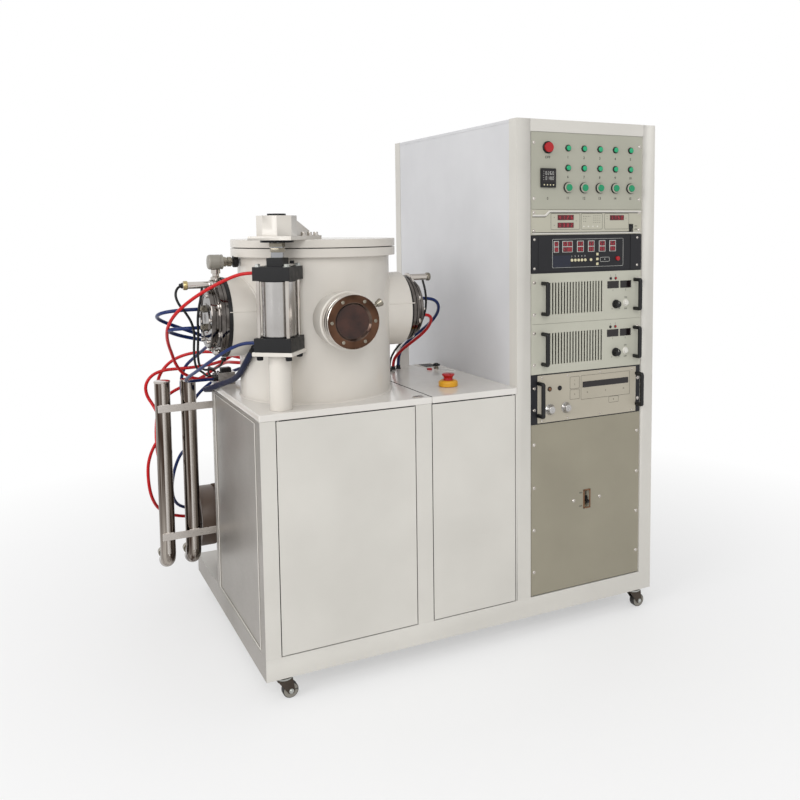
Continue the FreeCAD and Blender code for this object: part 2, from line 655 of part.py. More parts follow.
def lift_cylinder():
    half = LIFT_CAP / 2
    rod_hole = ROD_RADIUS + RUNNING_FIT
    bottom = block(-half, half, -half, half, LIFT_CAP_BOTTOM, LIFT_BARREL_BOTTOM)
    top = block(-half, half, -half, half, LIFT_BARREL_TOP, LIFT_TOP)
    guide_half = GUIDE_BLOCK / 2
    guide = block(-guide_half, guide_half, -guide_half, guide_half, LIFT_TOP, LIFT_TOP + GUIDE_HEIGHT)
    hole = rod(rod_hole, LIFT_CAP_THICKNESS + GUIDE_HEIGHT, (0, 0, LIFT_BARREL_TOP))
    top = fuse([top, guide]).cut(hole)
    barrel_bore = LIFT_BARREL_RADIUS - LIFT_BARREL_WALL
    barrel = tube(LIFT_BARREL_RADIUS, barrel_bore, LIFT_BARREL_LENGTH, (0, 0, LIFT_BARREL_BOTTOM))
    ties = [rod(TIE_ROD_RADIUS, LIFT_BARREL_LENGTH, (x, y, LIFT_BARREL_BOTTOM))
            for x in (-TIE_ROD_OFFSET, TIE_ROD_OFFSET)
            for y in (-TIE_ROD_OFFSET, TIE_ROD_OFFSET)]
    fittings = [rod(AIR_FITTING_RADIUS, AIR_FITTING_LENGTH, (0, half, z), Y_AXIS)
                for z in air_port_heights()]
    wall = rod(CHAMBER_RADIUS + SEAT_FIT, CHAMBER_HEIGHT, (LIFT_TO_CHAMBER, 0, TABLE_HEIGHT))
    solids = [bottom.cut(wall), barrel, top.cut(wall)] + ties + fittings
    return group([at_lift(solid) for solid in solids])


def air_port_heights():
    return (LIFT_CAP_BOTTOM + LIFT_CAP_THICKNESS / 2, LIFT_BARREL_TOP + LIFT_CAP_THICKNESS / 2)


def lift_rod():
    piston_radius = LIFT_BARREL_RADIUS - LIFT_BARREL_WALL - RUNNING_FIT
    piston_bottom = LIFT_BARREL_BOTTOM + CLEARANCE
    plate_bottom = ROD_PLATE_TOP - ROD_PLATE_THICKNESS
    nut_bottom = LIFT_TOP + GUIDE_HEIGHT + CLEARANCE
    return at_lift(fuse([
        rod(piston_radius, PISTON_THICKNESS, (0, 0, piston_bottom)),
        rod(ROD_RADIUS, plate_bottom - piston_bottom, (0, 0, piston_bottom)),
        rod(ROD_NUT_RADIUS, plate_bottom - nut_bottom, (0, 0, nut_bottom)),
        rod(ROD_PLATE_RADIUS, ROD_PLATE_THICKNESS, (0, 0, plate_bottom)),
        rod(SPINDLE_RADIUS, SPINDLE_LENGTH, (0, 0, ROD_PLATE_TOP)),
    ]))


def lid():
    return rod(FLANGE_RADIUS, LID_THICKNESS, (CHAMBER_X, CHAMBER_Y, LID_BOTTOM))


def lid_arm():
    half = ARM_PLATE_WIDTH / 2
    plate_top = ARM_UNDER + ARM_PLATE_THICKNESS
    head_top = plate_top + ARM_HEAD_HEIGHT
    plate = block(-ARM_OVERHANG, ARM_REACH, -half, half, ARM_UNDER, plate_top)
    head = octagon(ARM_HEAD_WIDTH, plate_top, ARM_HEAD_HEIGHT)
    rib = Part.Face(Part.makePolygon([
        Vector(0, -ARM_RIB_WIDTH / 2, plate_top),
        Vector(ARM_REACH - ARM_RIB_WIDTH / 4, -ARM_RIB_WIDTH / 2, plate_top),
        Vector(ARM_REACH - ARM_RIB_WIDTH / 4, -ARM_RIB_WIDTH / 2, plate_top + ARM_HEAD_HEIGHT / 4),
        Vector(ARM_HEAD_WIDTH / 2, -ARM_RIB_WIDTH / 2, head_top - ARM_CAP_HEIGHT),
        Vector(0, -ARM_RIB_WIDTH / 2, head_top - ARM_CAP_HEIGHT),
        Vector(0, -ARM_RIB_WIDTH / 2, plate_top),
    ])).extrude(Vector(0, ARM_RIB_WIDTH, 0))
    cap = rod(ARM_CAP_RADIUS, ARM_CAP_HEIGHT, (0, 0, head_top))
    bearing = rod(SPINDLE_RADIUS + RUNNING_FIT, SPINDLE_LENGTH, (0, 0, ARM_UNDER))
    arm = fuse([plate, head, rib, cap]).cut(bearing)
    bolts = [rod(VIEW_BOLT_HEAD, LID_BOLT_HEIGHT, (u, v, plate_top))
             for u in lid_bolt_places()
             for v in (-half + VIEW_BOLT_HEAD * 2, half - VIEW_BOLT_HEAD * 2)]
    return group([at_lift(shape) for shape in [arm] + bolts])


def lid_bolt_places():
    first = LIFT_TO_CHAMBER - FLANGE_RADIUS + VIEW_BOLT_HEAD * 4
    last = ARM_REACH - VIEW_BOLT_HEAD * 2
    return [first, (first + last) / 2, last]


def octagon(width, bottom, height):
    half_side = math.radians(360 / 8 / 2)
    radius = width / 2 / math.cos(half_side)
    corners = []
    for turn in range(8 + 1):
        angle = half_side * (1 + 2 * turn)
        corners.append(Vector(radius * math.cos(angle), radius * math.sin(angle), bottom))
    return Part.Face(Part.makePolygon(corners)).extrude(Vector(0, 0, height))


def turntable():
    plate_bottom = TABLE_HEIGHT + CHAMBER_FLOOR + TURNTABLE_HEIGHT
    shaft_bottom = TABLE_HEIGHT - FEEDTHROUGH_LENGTH - CLEARANCE - PULLEY_THICKNESS
    centre = (CHAMBER_X, CHAMBER_Y)
    rim_bottom = plate_bottom + TURNTABLE_THICKNESS
    rim_bore = TURNTABLE_RADIUS - TURNTABLE_THICKNESS
    hub_bottom = TABLE_HEIGHT + CHAMBER_FLOOR + CLEARANCE
    return fuse([
        rod(SHAFT_RADIUS, plate_bottom - shaft_bottom, (*centre, shaft_bottom)),
        rod(HUB_RADIUS, plate_bottom - hub_bottom, (*centre, hub_bottom)),
        rod(TURNTABLE_RADIUS, TURNTABLE_THICKNESS, (*centre, plate_bottom)),
        tube(TURNTABLE_RADIUS, rim_bore, TURNTABLE_RIM, (*centre, rim_bottom)),
        rod(PULLEY_RADIUS, PULLEY_THICKNESS, (*centre, shaft_bottom)),
    ])


def door(x_range, pivot_x):
    x0, x1 = x_range
    outer = block(x0, x1, 0, DOOR_DEPTH, DOOR_BOTTOM, DOOR_TOP)
    inner = block(x0 + DOOR_SKIN, x1 - DOOR_SKIN, DOOR_SKIN, DOOR_DEPTH,
                  DOOR_BOTTOM + DOOR_SKIN, DOOR_TOP - DOOR_SKIN)
    block_x = (x0, x0 + PIVOT_BLOCK) if pivot_x < (x0 + x1) / 2 else (x1 - PIVOT_BLOCK, x1)
    block_height = PIVOT_LENGTH + PIVOT_BLOCK
    leaf = fuse([
        outer.cut(inner),
        block(*block_x, 0, DOOR_DEPTH, DOOR_BOTTOM, DOOR_BOTTOM + block_height),
        block(*block_x, 0, DOOR_DEPTH, DOOR_TOP - block_height, DOOR_TOP),
    ])
    hole = PIVOT_RADIUS + RUNNING_FIT
    depth = PIVOT_LENGTH + CLEARANCE
    return leaf.cut([
        rod(hole, depth, (pivot_x, PIVOT_INSET, DOOR_BOTTOM)),
        rod(hole, depth, (pivot_x, PIVOT_INSET, DOOR_TOP - depth)),
    ])


def cooling_manifold():
    solids = []
    for x, drop in zip(PIPES_X, (RED_TAIL_DROP, BLUE_TAIL_DROP)):
        solids.append(manifold_pipe(x))
        for tail in range(HOSE_TAILS):
            start = (x, PIPE_Y + PIPE_RADIUS, tail_height(drop, tail))
            solids.append(rod(HOSE_TAIL_RADIUS, HOSE_TAIL_LENGTH, start, Y_AXIS))
    bar_y = (LOW_DEPTH, LOW_DEPTH + MANIFOLD_BAR_THICKNESS)
    for z in MANIFOLD_BAR_Z:
        half = MANIFOLD_BAR_HEIGHT / 2
        solids.append(block(MANIFOLD_BAR_LEFT, MANIFOLD_BAR_END, *bar_y, z - half, z + half))
    return group(solids)


def tail_height(first_drop, tail):
    return PIPE_TOP - first_drop - tail * HOSE_TAIL_PITCH


def manifold_pipe(x):
    bend_z = PIPE_BOTTOM + ELBOW_RADIUS
    upright = rod(PIPE_RADIUS, PIPE_TOP - bend_z, (x, PIPE_Y, bend_z))
    ring = Part.Face(Part.Wire(Part.makeCircle(PIPE_RADIUS, Vector(x, PIPE_Y, bend_z), Z_AXIS)))
    elbow = ring.revolve(Vector(x, PIPE_Y + ELBOW_RADIUS, bend_z), X_AXIS, 90)
    stub_start = PIPE_Y + ELBOW_RADIUS
    end = rod(PIPE_RADIUS, END_DISC, (x, stub_start, PIPE_BOTTOM), Y_AXIS)
    stub = rod(STUB_RADIUS, STUB_LENGTH, (x, stub_start, PIPE_BOTTOM), Y_AXIS)
    nut = rod(STUB_NUT_RADIUS, STUB_NUT_LENGTH, (x, stub_start + STUB_LENGTH, PIPE_BOTTOM), Y_AXIS)
    return fuse([upright, elbow, end, stub, nut])


def vacuum_pump():
    y, z = MOTOR_Y, MOTOR_AXIS_Z
    motor_right = MOTOR_LEFT + MOTOR_LENGTH
    pump_right = motor_right + PUMP_LENGTH
    cowl_right = MOTOR_LEFT + MOTOR_COWL_LENGTH
    cowl = rod(MOTOR_COWL_RADIUS, MOTOR_COWL_LENGTH, (MOTOR_LEFT, y, z), X_AXIS)
    stator = rod(MOTOR_RADIUS, motor_right - cowl_right, (cowl_right, y, z), X_AXIS)
    foot_x = (TUBE, motor_right - LIGHT_TUBE)
    foot = block(*foot_x, y - MOTOR_RADIUS / 2, y + MOTOR_RADIUS / 2, BASE_TOP, z - MOTOR_RADIUS / 2)
    pump_bottom = BASE_TOP + PUMP_FOOT_HEIGHT
    body = block(motor_right, pump_right, y - PUMP_WIDTH / 2, y + PUMP_WIDTH / 2,
                 pump_bottom, pump_bottom + PUMP_BODY_HEIGHT)
    feet = block(motor_right + LIGHT_TUBE, pump_right - LIGHT_TUBE,
                 y - PUMP_WIDTH / 2 - FLAT_BAR, y + PUMP_WIDTH / 2 + FLAT_BAR, BASE_TOP, pump_bottom)
    port_x = (motor_right + pump_right) / 2
    port_bottom = pump_bottom + PUMP_BODY_HEIGHT
    riser = rod(PUMP_PORT_RADIUS, PUMP_PORT_RISE, (port_x, y, port_bottom))
    elbow = Part.makeSphere(PUMP_PORT_RADIUS, Vector(port_x, y, port_bottom + PUMP_PORT_RISE))
    line = rod(PUMP_PORT_RADIUS, y - LOW_DEPTH + PANEL_INSET,
               (port_x, LOW_DEPTH - PANEL_INSET, port_bottom + PUMP_PORT_RISE), Y_AXIS)
    return group([fuse([cowl, stator, foot]), fuse([body, feet]), fuse([riser, elbow, line])])


def unit_tops():
    """The top edge of each rack unit, and its height in rack units."""
    units = (("control_panel", 6), ("display_unit", 2), ("indicator_unit", 3), ("upper_supply", 4),
             ("lower_supply", 4), ("gauge_unit", 4), ("blank_panel", 14))
    tops = {}
    top = RACK_TOP
    for name, height in units:
        tops[name] = (top, height)
        top -= height * RACK_UNIT_HEIGHT
    return tops


def rack_x(offset):
    return RACK_LEFT + offset


def rack_z(unit, drop):
    return unit_tops()[unit][0] - drop


def rack_face(unit):
    top, height = unit_tops()[unit]
    bottom = top - height * RACK_UNIT_HEIGHT
    return block(RACK_LEFT, RACK_LEFT + RACK_PANEL_WIDTH, FACE_INSET, FACE_BACK,
                 bottom + FACE_GAP, top - FACE_GAP)


def rack_case(unit, depth):
    """A closed sheet-metal case behind a face plate."""
    top, height = unit_tops()[unit]
    bottom = top - height * RACK_UNIT_HEIGHT
    x = (RACK_CENTRE - CASE_WIDTH / 2, RACK_CENTRE + CASE_WIDTH / 2)
    z = (bottom + CASE_MARGIN, top - CASE_MARGIN)
    outer = block(*x, FACE_BACK, FACE_BACK + depth, *z)
    inner = block(x[0] + CASE_SHEET, x[1] - CASE_SHEET, FACE_BACK, FACE_BACK + depth - CASE_SHEET,
                  z[0] + CASE_SHEET, z[1] - CASE_SHEET)
    return outer.cut(inner)


def face_hole(x, z, radius):
    return rod(radius, FACE_THICKNESS * 3, (x, FACE_INSET - FACE_THICKNESS, z), Y_AXIS)


def start_buttons():
    return [(START_FIRST_X + START_PITCH * column, START_Z) for column in range(5)]


def control_panel():
    unit = "control_panel"
    face = fuse([rack_face(unit), rack_case(unit, CONTROL_CASE_DEPTH)])
    x, drop, radius = STOP_BUTTON
    face = face.cut(face_hole(rack_x(x), rack_z(unit, drop), radius - BUTTON_PROUD + CLEARANCE))
    bezels = []
    for x, drop in start_buttons():
        place = (rack_x(x), FACE_INSET - BEZEL_HEIGHT, rack_z(unit, drop))
        face = face.cut(face_hole(place[0], place[2], START_RADIUS + CLEARANCE))
        bezels.append(tube(BEZEL_RADIUS, START_RADIUS + CLEARANCE, BEZEL_HEIGHT, place, Y_AXIS))
        for row in LAMP_ROWS:
            bezels.append(rod(LAMP_RADIUS, LAMP_HEIGHT,
                              (rack_x(x), FACE_INSET - LAMP_HEIGHT, rack_z(unit, row)), Y_AXIS))
    x, drop, width, height, proud = CONTROLLER
    controller = block(rack_x(x) - width / 2, rack_x(x) + width / 2, FACE_INSET - proud, FACE_INSET,
                       rack_z(unit, drop) - height / 2, rack_z(unit, drop) + height / 2)
    return group([face] + bezels + [controller])


def display_unit():
    unit = "display_unit"
    face = fuse([rack_face(unit), rack_case(unit, DISPLAY_CASE_DEPTH)])
    x, drop, width, height = ROCKER
    gap = CLEARANCE
    window = block(rack_x(x) - width / 2 - gap, rack_x(x) + width / 2 + gap,
                   FACE_INSET - CUT_MARGIN, FACE_BACK + CUT_MARGIN,
                   rack_z(unit, drop) - height / 2 - gap, rack_z(unit, drop) + height / 2 + gap)
    return face.cut(window)


def indicator_unit():
    unit = "indicator_unit"
    face = fuse([rack_face(unit), rack_case(unit, DISPLAY_CASE_DEPTH)])
    x, drop, radius = RESET_BUTTON
    return face.cut(face_hole(rack_x(x), rack_z(unit, drop), radius + CLEARANCE))


def power_supply(unit):
    face = fuse([rack_face(unit), rack_case(unit, SUPPLY_CASE_DEPTH)])
    vents = []
    for slot in range(VENTS):
        x = rack_x(VENT_FIRST + slot * VENT_PITCH)
        z = rack_z(unit, VENT_TOP + VENT_HEIGHT)
        slot_y = (FACE_INSET - CUT_MARGIN, FACE_BACK + CUT_MARGIN)
        vents.append(block(x, x + VENT_WIDTH, *slot_y, z, z + VENT_HEIGHT))
    x, drop, radius = SUPPLY_KNOB
    shaft = face_hole(rack_x(x), rack_z(unit, drop), KNOB_SHAFT_RADIUS + RUNNING_FIT)
    x, drop, radius = SUPPLY_SWITCH
    switch = face_hole(rack_x(x), rack_z(unit, drop), radius + CLEARANCE)
    return face.cut(vents + [shaft, switch])


def gauge_unit():
    unit = "gauge_unit"
    face = fuse([rack_face(unit), rack_case(unit, DISPLAY_CASE_DEPTH)])
    shafts = [face_hole(rack_x(x), rack_z(unit, drop), KNOB_SHAFT_RADIUS + RUNNING_FIT)
              for x, drop, radius in GAUGE_KNOBS]
    return face.cut(shafts)


def blank_panel():
    unit = "blank_panel"
    x, drop, width, height = BREAKER
    window = block(rack_x(x) - width / 2, rack_x(x) + width / 2,
                   FACE_INSET - CUT_MARGIN, FACE_BACK + CUT_MARGIN,
                   rack_z(unit, drop) - height / 2, rack_z(unit, drop) + height / 2)
    return rack_face(unit).cut(window)


def breaker_body():
    unit = "blank_panel"
    x, drop, width, height = BREAKER
    z = rack_z(unit, drop)
    case_width, case_depth, case_height = BREAKER_CASE
    case = block(rack_x(x) - case_width / 2, rack_x(x) + case_width / 2, FACE_BACK, FACE_BACK + case_depth,
                 z - case_height / 2, z + case_height / 2)
    slot = block(rack_x(x) - width / 2, rack_x(x) + width / 2, FACE_BACK, FACE_BACK + BREAKER_LEVER * 2,
                 z - height / 2, z + height / 2)
    return case.cut(slot)


def bow_handle(unit, x, drops):
    """A pull handle: two feet on the panel and a grip between them, with bevelled corners."""
    half = HANDLE_SECTION / 2
    z0 = rack_z(unit, drops[1])
    z1 = rack_z(unit, drops[0])
    front = FACE_INSET - HANDLE_REACH
    inner = front + HANDLE_SECTION
    points = [
        (FACE_INSET, z0), (front + half, z0), (front, z0 + half), (front, z1 - half),
        (front + half, z1), (FACE_INSET, z1), (FACE_INSET, z1 - HANDLE_SECTION),
        (inner, z1 - HANDLE_SECTION), (inner, z0 + HANDLE_SECTION), (FACE_INSET, z0 + HANDLE_SECTION),
        (FACE_INSET, z0),
    ]
    outline = Part.makePolygon([Vector(rack_x(x) - half, y, z) for y, z in points])
    return Part.Face(outline).extrude(Vector(HANDLE_SECTION, 0, 0))


def pull_handles():
    handles = [bow_handle(unit, x, SUPPLY_HANDLE_Z)
               for unit in ("upper_supply", "lower_supply")
               for x in SUPPLY_HANDLES_X]
    handles += [bow_handle("gauge_unit", x, GAUGE_HANDLE_Z) for x in GAUGE_HANDLES_X]
    return group(handles)


def push_button(unit, place, proud, head_radius=None):
    """A button whose stem passes through the face plate and which travels into it."""
    x, drop, radius = place
    centre = (rack_x(x), FACE_INSET - proud, rack_z(unit, drop))
    if head_radius is None:
        return rod(radius, proud + BUTTON_STEM, centre, Y_AXIS)
    head = rod(head_radius, proud - BUTTON_TRAVEL - CLEARANCE, centre, Y_AXIS)
    return fuse([head, rod(radius, proud + BUTTON_STEM, centre, Y_AXIS)])


def knob(unit, place):
    x, drop, radius = place
    centre_x, z = rack_x(x), rack_z(unit, drop)
    back = FACE_INSET - CLEARANCE
    front = back - KNOB_HEIGHT
    return fuse([
        rod(radius - KNOB_SKIRT_STEP, KNOB_HEIGHT - KNOB_SKIRT, (centre_x, front, z), Y_AXIS),
        rod(radius, KNOB_SKIRT, (centre_x, back - KNOB_SKIRT, z), Y_AXIS),
        rod(KNOB_SHAFT_RADIUS, KNOB_SHAFT_LENGTH, (centre_x, back, z), Y_AXIS),
    ])


def power_rocker():
    """A rocker whose corners stay on one circle about its pivot, so it turns in its window."""
    x, drop, width, height = ROCKER
    z = rack_z("display_unit", drop)
    radius = height / 2 - CLEARANCE
    pivot_y = rocker_pivot_y()
    raised = math.radians(ROCKER_RAISED_ANGLE)
    pressed = math.radians(ROCKER_PRESSED_ANGLE)
    left = rack_x(x) - width / 2
    front = [
        (FACE_INSET, z),
        (pivot_y - radius * math.cos(raised), z + radius * math.sin(raised)),
        (pivot_y, z + height), (pivot_y + height, z + height),
        (pivot_y + height, z - height), (pivot_y, z - height),
        (pivot_y - radius * math.cos(pressed), z - radius * math.sin(pressed)),
        (FACE_INSET, z),
    ]
    outline = Part.makePolygon([Vector(left, py, pz) for py, pz in front])
    wedge = Part.Face(outline).extrude(Vector(width, 0, 0))
    return rod(radius, width, (left, pivot_y, z), X_AXIS).common(wedge)


def rocker_pivot_y():
    return FACE_INSET + ROCKER_PIVOT_DEPTH


def breaker_toggle():
    x, drop, width, height = BREAKER
    z = rack_z("blank_panel", drop)
    pivot_y = FACE_BACK + BREAKER_LEVER
    half = width / 2 - CLEARANCE
    hub = rod(BREAKER_LEVER / 2, half * 2, (rack_x(x) - half, pivot_y, z), X_AXIS)
    lever = block(rack_x(x) - half / 2, rack_x(x) + half / 2, FACE_INSET - BREAKER_LEVER, pivot_y,
                  z - BREAKER_LEVER / 3, z + BREAKER_LEVER / 3)
    return turned(fuse([hub, lever]), BREAKER_REST_ANGLE, (rack_x(x), pivot_y, z), X_AXIS)


def estop_collar():
    place = (ESTOP_X, ESTOP_Y, TABLE_HEIGHT)
    return tube(ESTOP_COLLAR_RADIUS, ESTOP_STEM_RADIUS + CLEARANCE, ESTOP_COLLAR_HEIGHT, place)


def estop_button():
    collar_top = TABLE_HEIGHT + ESTOP_COLLAR_HEIGHT
    head_bottom = collar_top + ESTOP_NECK
    centre = (ESTOP_X, ESTOP_Y)
    return fuse([
        rod(ESTOP_STEM_RADIUS, head_bottom - TABLE_UNDER, (*centre, TABLE_UNDER)),
        rod(ESTOP_HEAD_RADIUS, ESTOP_HEAD_HEIGHT, (*centre, head_bottom)),
    ])


def air_valve():
    dx, dy, dz = VALVE_SIZE
    body = block(VALVE_X - dx / 2, VALVE_X + dx / 2, VALVE_Y - dy / 2, VALVE_Y + dy / 2,
                 TABLE_HEIGHT, TABLE_HEIGHT + dz)
    port_z = TABLE_HEIGHT + dz / 2
    left = VALVE_X - dx / 2
    ports = [rod(AIR_FITTING_RADIUS, AIR_FITTING_LENGTH, (left, VALVE_Y + shift, port_z), X_AXIS * -1)
             for shift in (-dy / 4, dy / 4)]
    return fuse([body] + ports)


def caster_fork(x, y):
    half = FORK_WIDTH / 2
    axle_x = x + WHEEL_TRAIL
    cheek_low = WHEEL_RADIUS - AXLE_RADIUS * 2
    head_z = CASTER_HEIGHT - CLEARANCE - SWIVEL_HEAD_HEIGHT
    cheeks = []
    for side in (-half, half - FORK_THICKNESS):
        outline = Part.makePolygon([Vector(px, y + side, pz) for px, pz in (
            (axle_x - AXLE_RADIUS * 2, cheek_low), (axle_x + AXLE_RADIUS * 2, cheek_low),
            (axle_x + AXLE_RADIUS * 3, WHEEL_RADIUS), (x + SWIVEL_HEAD_RADIUS, FORK_TOP),
            (x - SWIVEL_HEAD_RADIUS, FORK_TOP), (axle_x - AXLE_RADIUS * 2, cheek_low))])
        cheeks.append(Part.Face(outline).extrude(Vector(0, FORK_THICKNESS, 0)))
    crown = block(x - SWIVEL_HEAD_RADIUS, x + SWIVEL_HEAD_RADIUS, y - half, y + half,
                  FORK_TOP - FORK_THICKNESS, head_z)
    head = rod(SWIVEL_HEAD_RADIUS, SWIVEL_HEAD_HEIGHT, (x, y, head_z))
    stem = rod(SWIVEL_RADIUS, SWIVEL_LENGTH, (x, y, head_z + SWIVEL_HEAD_HEIGHT - CLEARANCE))
    axle = rod(AXLE_RADIUS, FORK_WIDTH, (axle_x, y - half, WHEEL_RADIUS), Y_AXIS)
    return fuse(cheeks + [crown, head, stem, axle])


def caster_wheel(x, y):
    start = (x + WHEEL_TRAIL, y - WHEEL_WIDTH / 2, WHEEL_RADIUS)
    tread = rod(WHEEL_RADIUS, WHEEL_WIDTH, start, Y_AXIS)
    return tread.cut(rod(AXLE_RADIUS + RUNNING_FIT, WHEEL_WIDTH, start, Y_AXIS))


def hose_tube(route, diameter, name):
    """A round tube along straight runs joined by tangent arcs; prints its bend radii."""
    points = [Vector(*point) for point in route]
    runs = [(b - a).Length for a, b in zip(points, points[1:])]
    edges = []
    radii = []
    here = points[0]
    for index in range(1, len(points) - 1):
        corner = points[index]
        arrive = (corner - points[index - 1]).normalize()
        leave = (points[index + 1] - corner).normalize()
        setback = BEND_SHARE * min(runs[index - 1], runs[index])
        half_turn = arrive.getAngle(leave) / 2
        radius = setback / math.tan(half_turn)
        start = corner - arrive * setback
        end = corner + leave * setback
        inward = ((start + end) * 0.5 - corner).normalize()
        middle = corner + inward * (radius / math.cos(half_turn) - radius)
        edges.append(Part.LineSegment(here, start).toShape())
        edges.append(Part.Arc(start, middle, end).toShape())
        radii.append(round(radius))
        here = end
    edges.append(Part.LineSegment(here, points[-1]).toShape())
    path = Part.Wire(edges)
    ring = Part.Wire([Part.makeCircle(diameter / 2, points[0], points[1] - points[0])])
    solid = path.makePipeShell([ring], True, False)
    expected = math.pi * diameter ** 2 / 4 * path.Length
    print(name, "length", round(path.Length), "volume ratio", round(solid.Volume / expected, 4))
    print("  radii", radii, "runs", [round(run) for run in runs])
    return solid


def above_table(points):
    """A route's points, which are written with their height above the table."""
    return [(x, y, TABLE_HEIGHT + rise) for x, y, rise in points]


def lift_port(height):
    """The end of an air fitting on a lift cylinder cap, and a point straight out of it."""
    reach = LIFT_CAP / 2 + AIR_FITTING_LENGTH
    return [tuple(lift_point(0, reach, height)), tuple(lift_point(0, reach + AIR_PORT_RUN, height))]


def nipple_end(nipple_place):
    """A point straight out of a water nipple on the chamber, and the nipple's end."""
    degrees, rise = nipple_place
    end = CHAMBER_RADIUS + WATER_NIPPLE_LENGTH
    far = radial_point(degrees, end + NIPPLE_RUN, TABLE_HEIGHT + rise)
    return [tuple(far), tuple(radial_point(degrees, end, TABLE_HEIGHT + rise))]


def tail_exit(x, height, reach):
    """The end of a manifold hose tail, and a point straight out of it."""
    end = PIPE_Y + PIPE_RADIUS + HOSE_TAIL_LENGTH
    return [(x, end, height), (x, end + reach, height)]


def source_exit(side, reach):
    """The end of an arc source's upper nipple, and a point straight out of it."""
    height = PORT_HEIGHT + SOURCE_NIPPLE_OFFSET
    end = CHAMBER_X + side * (SOURCE_FACE + SOURCE_NIPPLE_LENGTH)
    return [(end, CHAMBER_Y, height), (end + side * reach, CHAMBER_Y, height)]


def valve_entry(shift):
    """A point straight out of an air valve port, and the port's end."""
    left = VALVE_X - VALVE_SIZE[0] / 2 - AIR_FITTING_LENGTH
    height = TABLE_HEIGHT + VALVE_SIZE[2] / 2
    return [(left - VALVE_RUN, VALVE_Y + shift, height), (left, VALVE_Y + shift, height)]


def hose_routes():
    """Each hose's diameter and route; the middle points are chosen by hand."""
    low_cap, high_cap = air_port_heights()
    port_shift = VALVE_SIZE[1] / 4
    red_tail = tail_height(RED_TAIL_DROP, 0)
    blue_tails = [tail_height(BLUE_TAIL_DROP, tail) for tail in range(HOSE_TAILS)]
    return {
        "red_air_hose": (AIR_HOSE, lift_port(high_cap) + above_table([
            (-42, 168, 404), (-98, 212, 370), (-148, 256, 330), (-184, 302, 286), (-196, 356, 244),
            (-190, 412, 206), (-176, 468, 170), (-158, 520, 134), (-142, 562, 96), (-118, 588, 58),
            (-88, 604, 36)]) + valve_entry(port_shift)),
        "blue_air_hose": (AIR_HOSE, lift_port(low_cap) + above_table([
            (-36, 160, 190), (-66, 216, 160), (-90, 282, 126), (-108, 352, 94), (-120, 420, 68),
            (-122, 480, 48), (-112, 528, 33), (-88, 568, 25)]) + valve_entry(-port_shift)),
        "left_source_hose": (WATER_HOSE, source_exit(-1, 40) + above_table([
            (-186, 333, 297), (-216, 370, 288), (-221, 418, 273), (-198, 459, 254), (-150, 480, 232),
            (-94, 490, 208), (-40, 510, 184), (-14, 558, 164), (-12, 624, 142), (-22, 700, 110),
            (-44, 768, 74), (-64, 812, 42), (-75, 836, -6), (-77, 828, -57)])
            + tail_exit(PIPES_X[1], blue_tails[0], 52)[::-1]),
        "right_source_hose": (WATER_HOSE, source_exit(1, 42) + above_table([
            (762, 334, 287), (790, 368, 254), (792, 414, 212), (774, 464, 172), (750, 514, 136),
            (730, 560, 98), (717, 592, 54), (717, 592, 0)])),
        "red_manifold_hose": (WATER_HOSE, tail_exit(PIPES_X[0], red_tail, 46) + above_table([
            (-164, 831, -23), (-147, 860, 17), (-106, 858, 62), (-48, 820, 90), (18, 762, 100),
            (62, 692, 96)]) + nipple_end(WATER_NIPPLES[0])),
        "blue_manifold_hose": (WATER_HOSE, tail_exit(PIPES_X[1], blue_tails[1], 43) + above_table([
            (-68, 828, -162), (-42, 856, -118), (-4, 850, -66), (38, 810, -22), (78, 750, 12),
            (108, 688, 36)]) + nipple_end(WATER_NIPPLES[1])),
    }


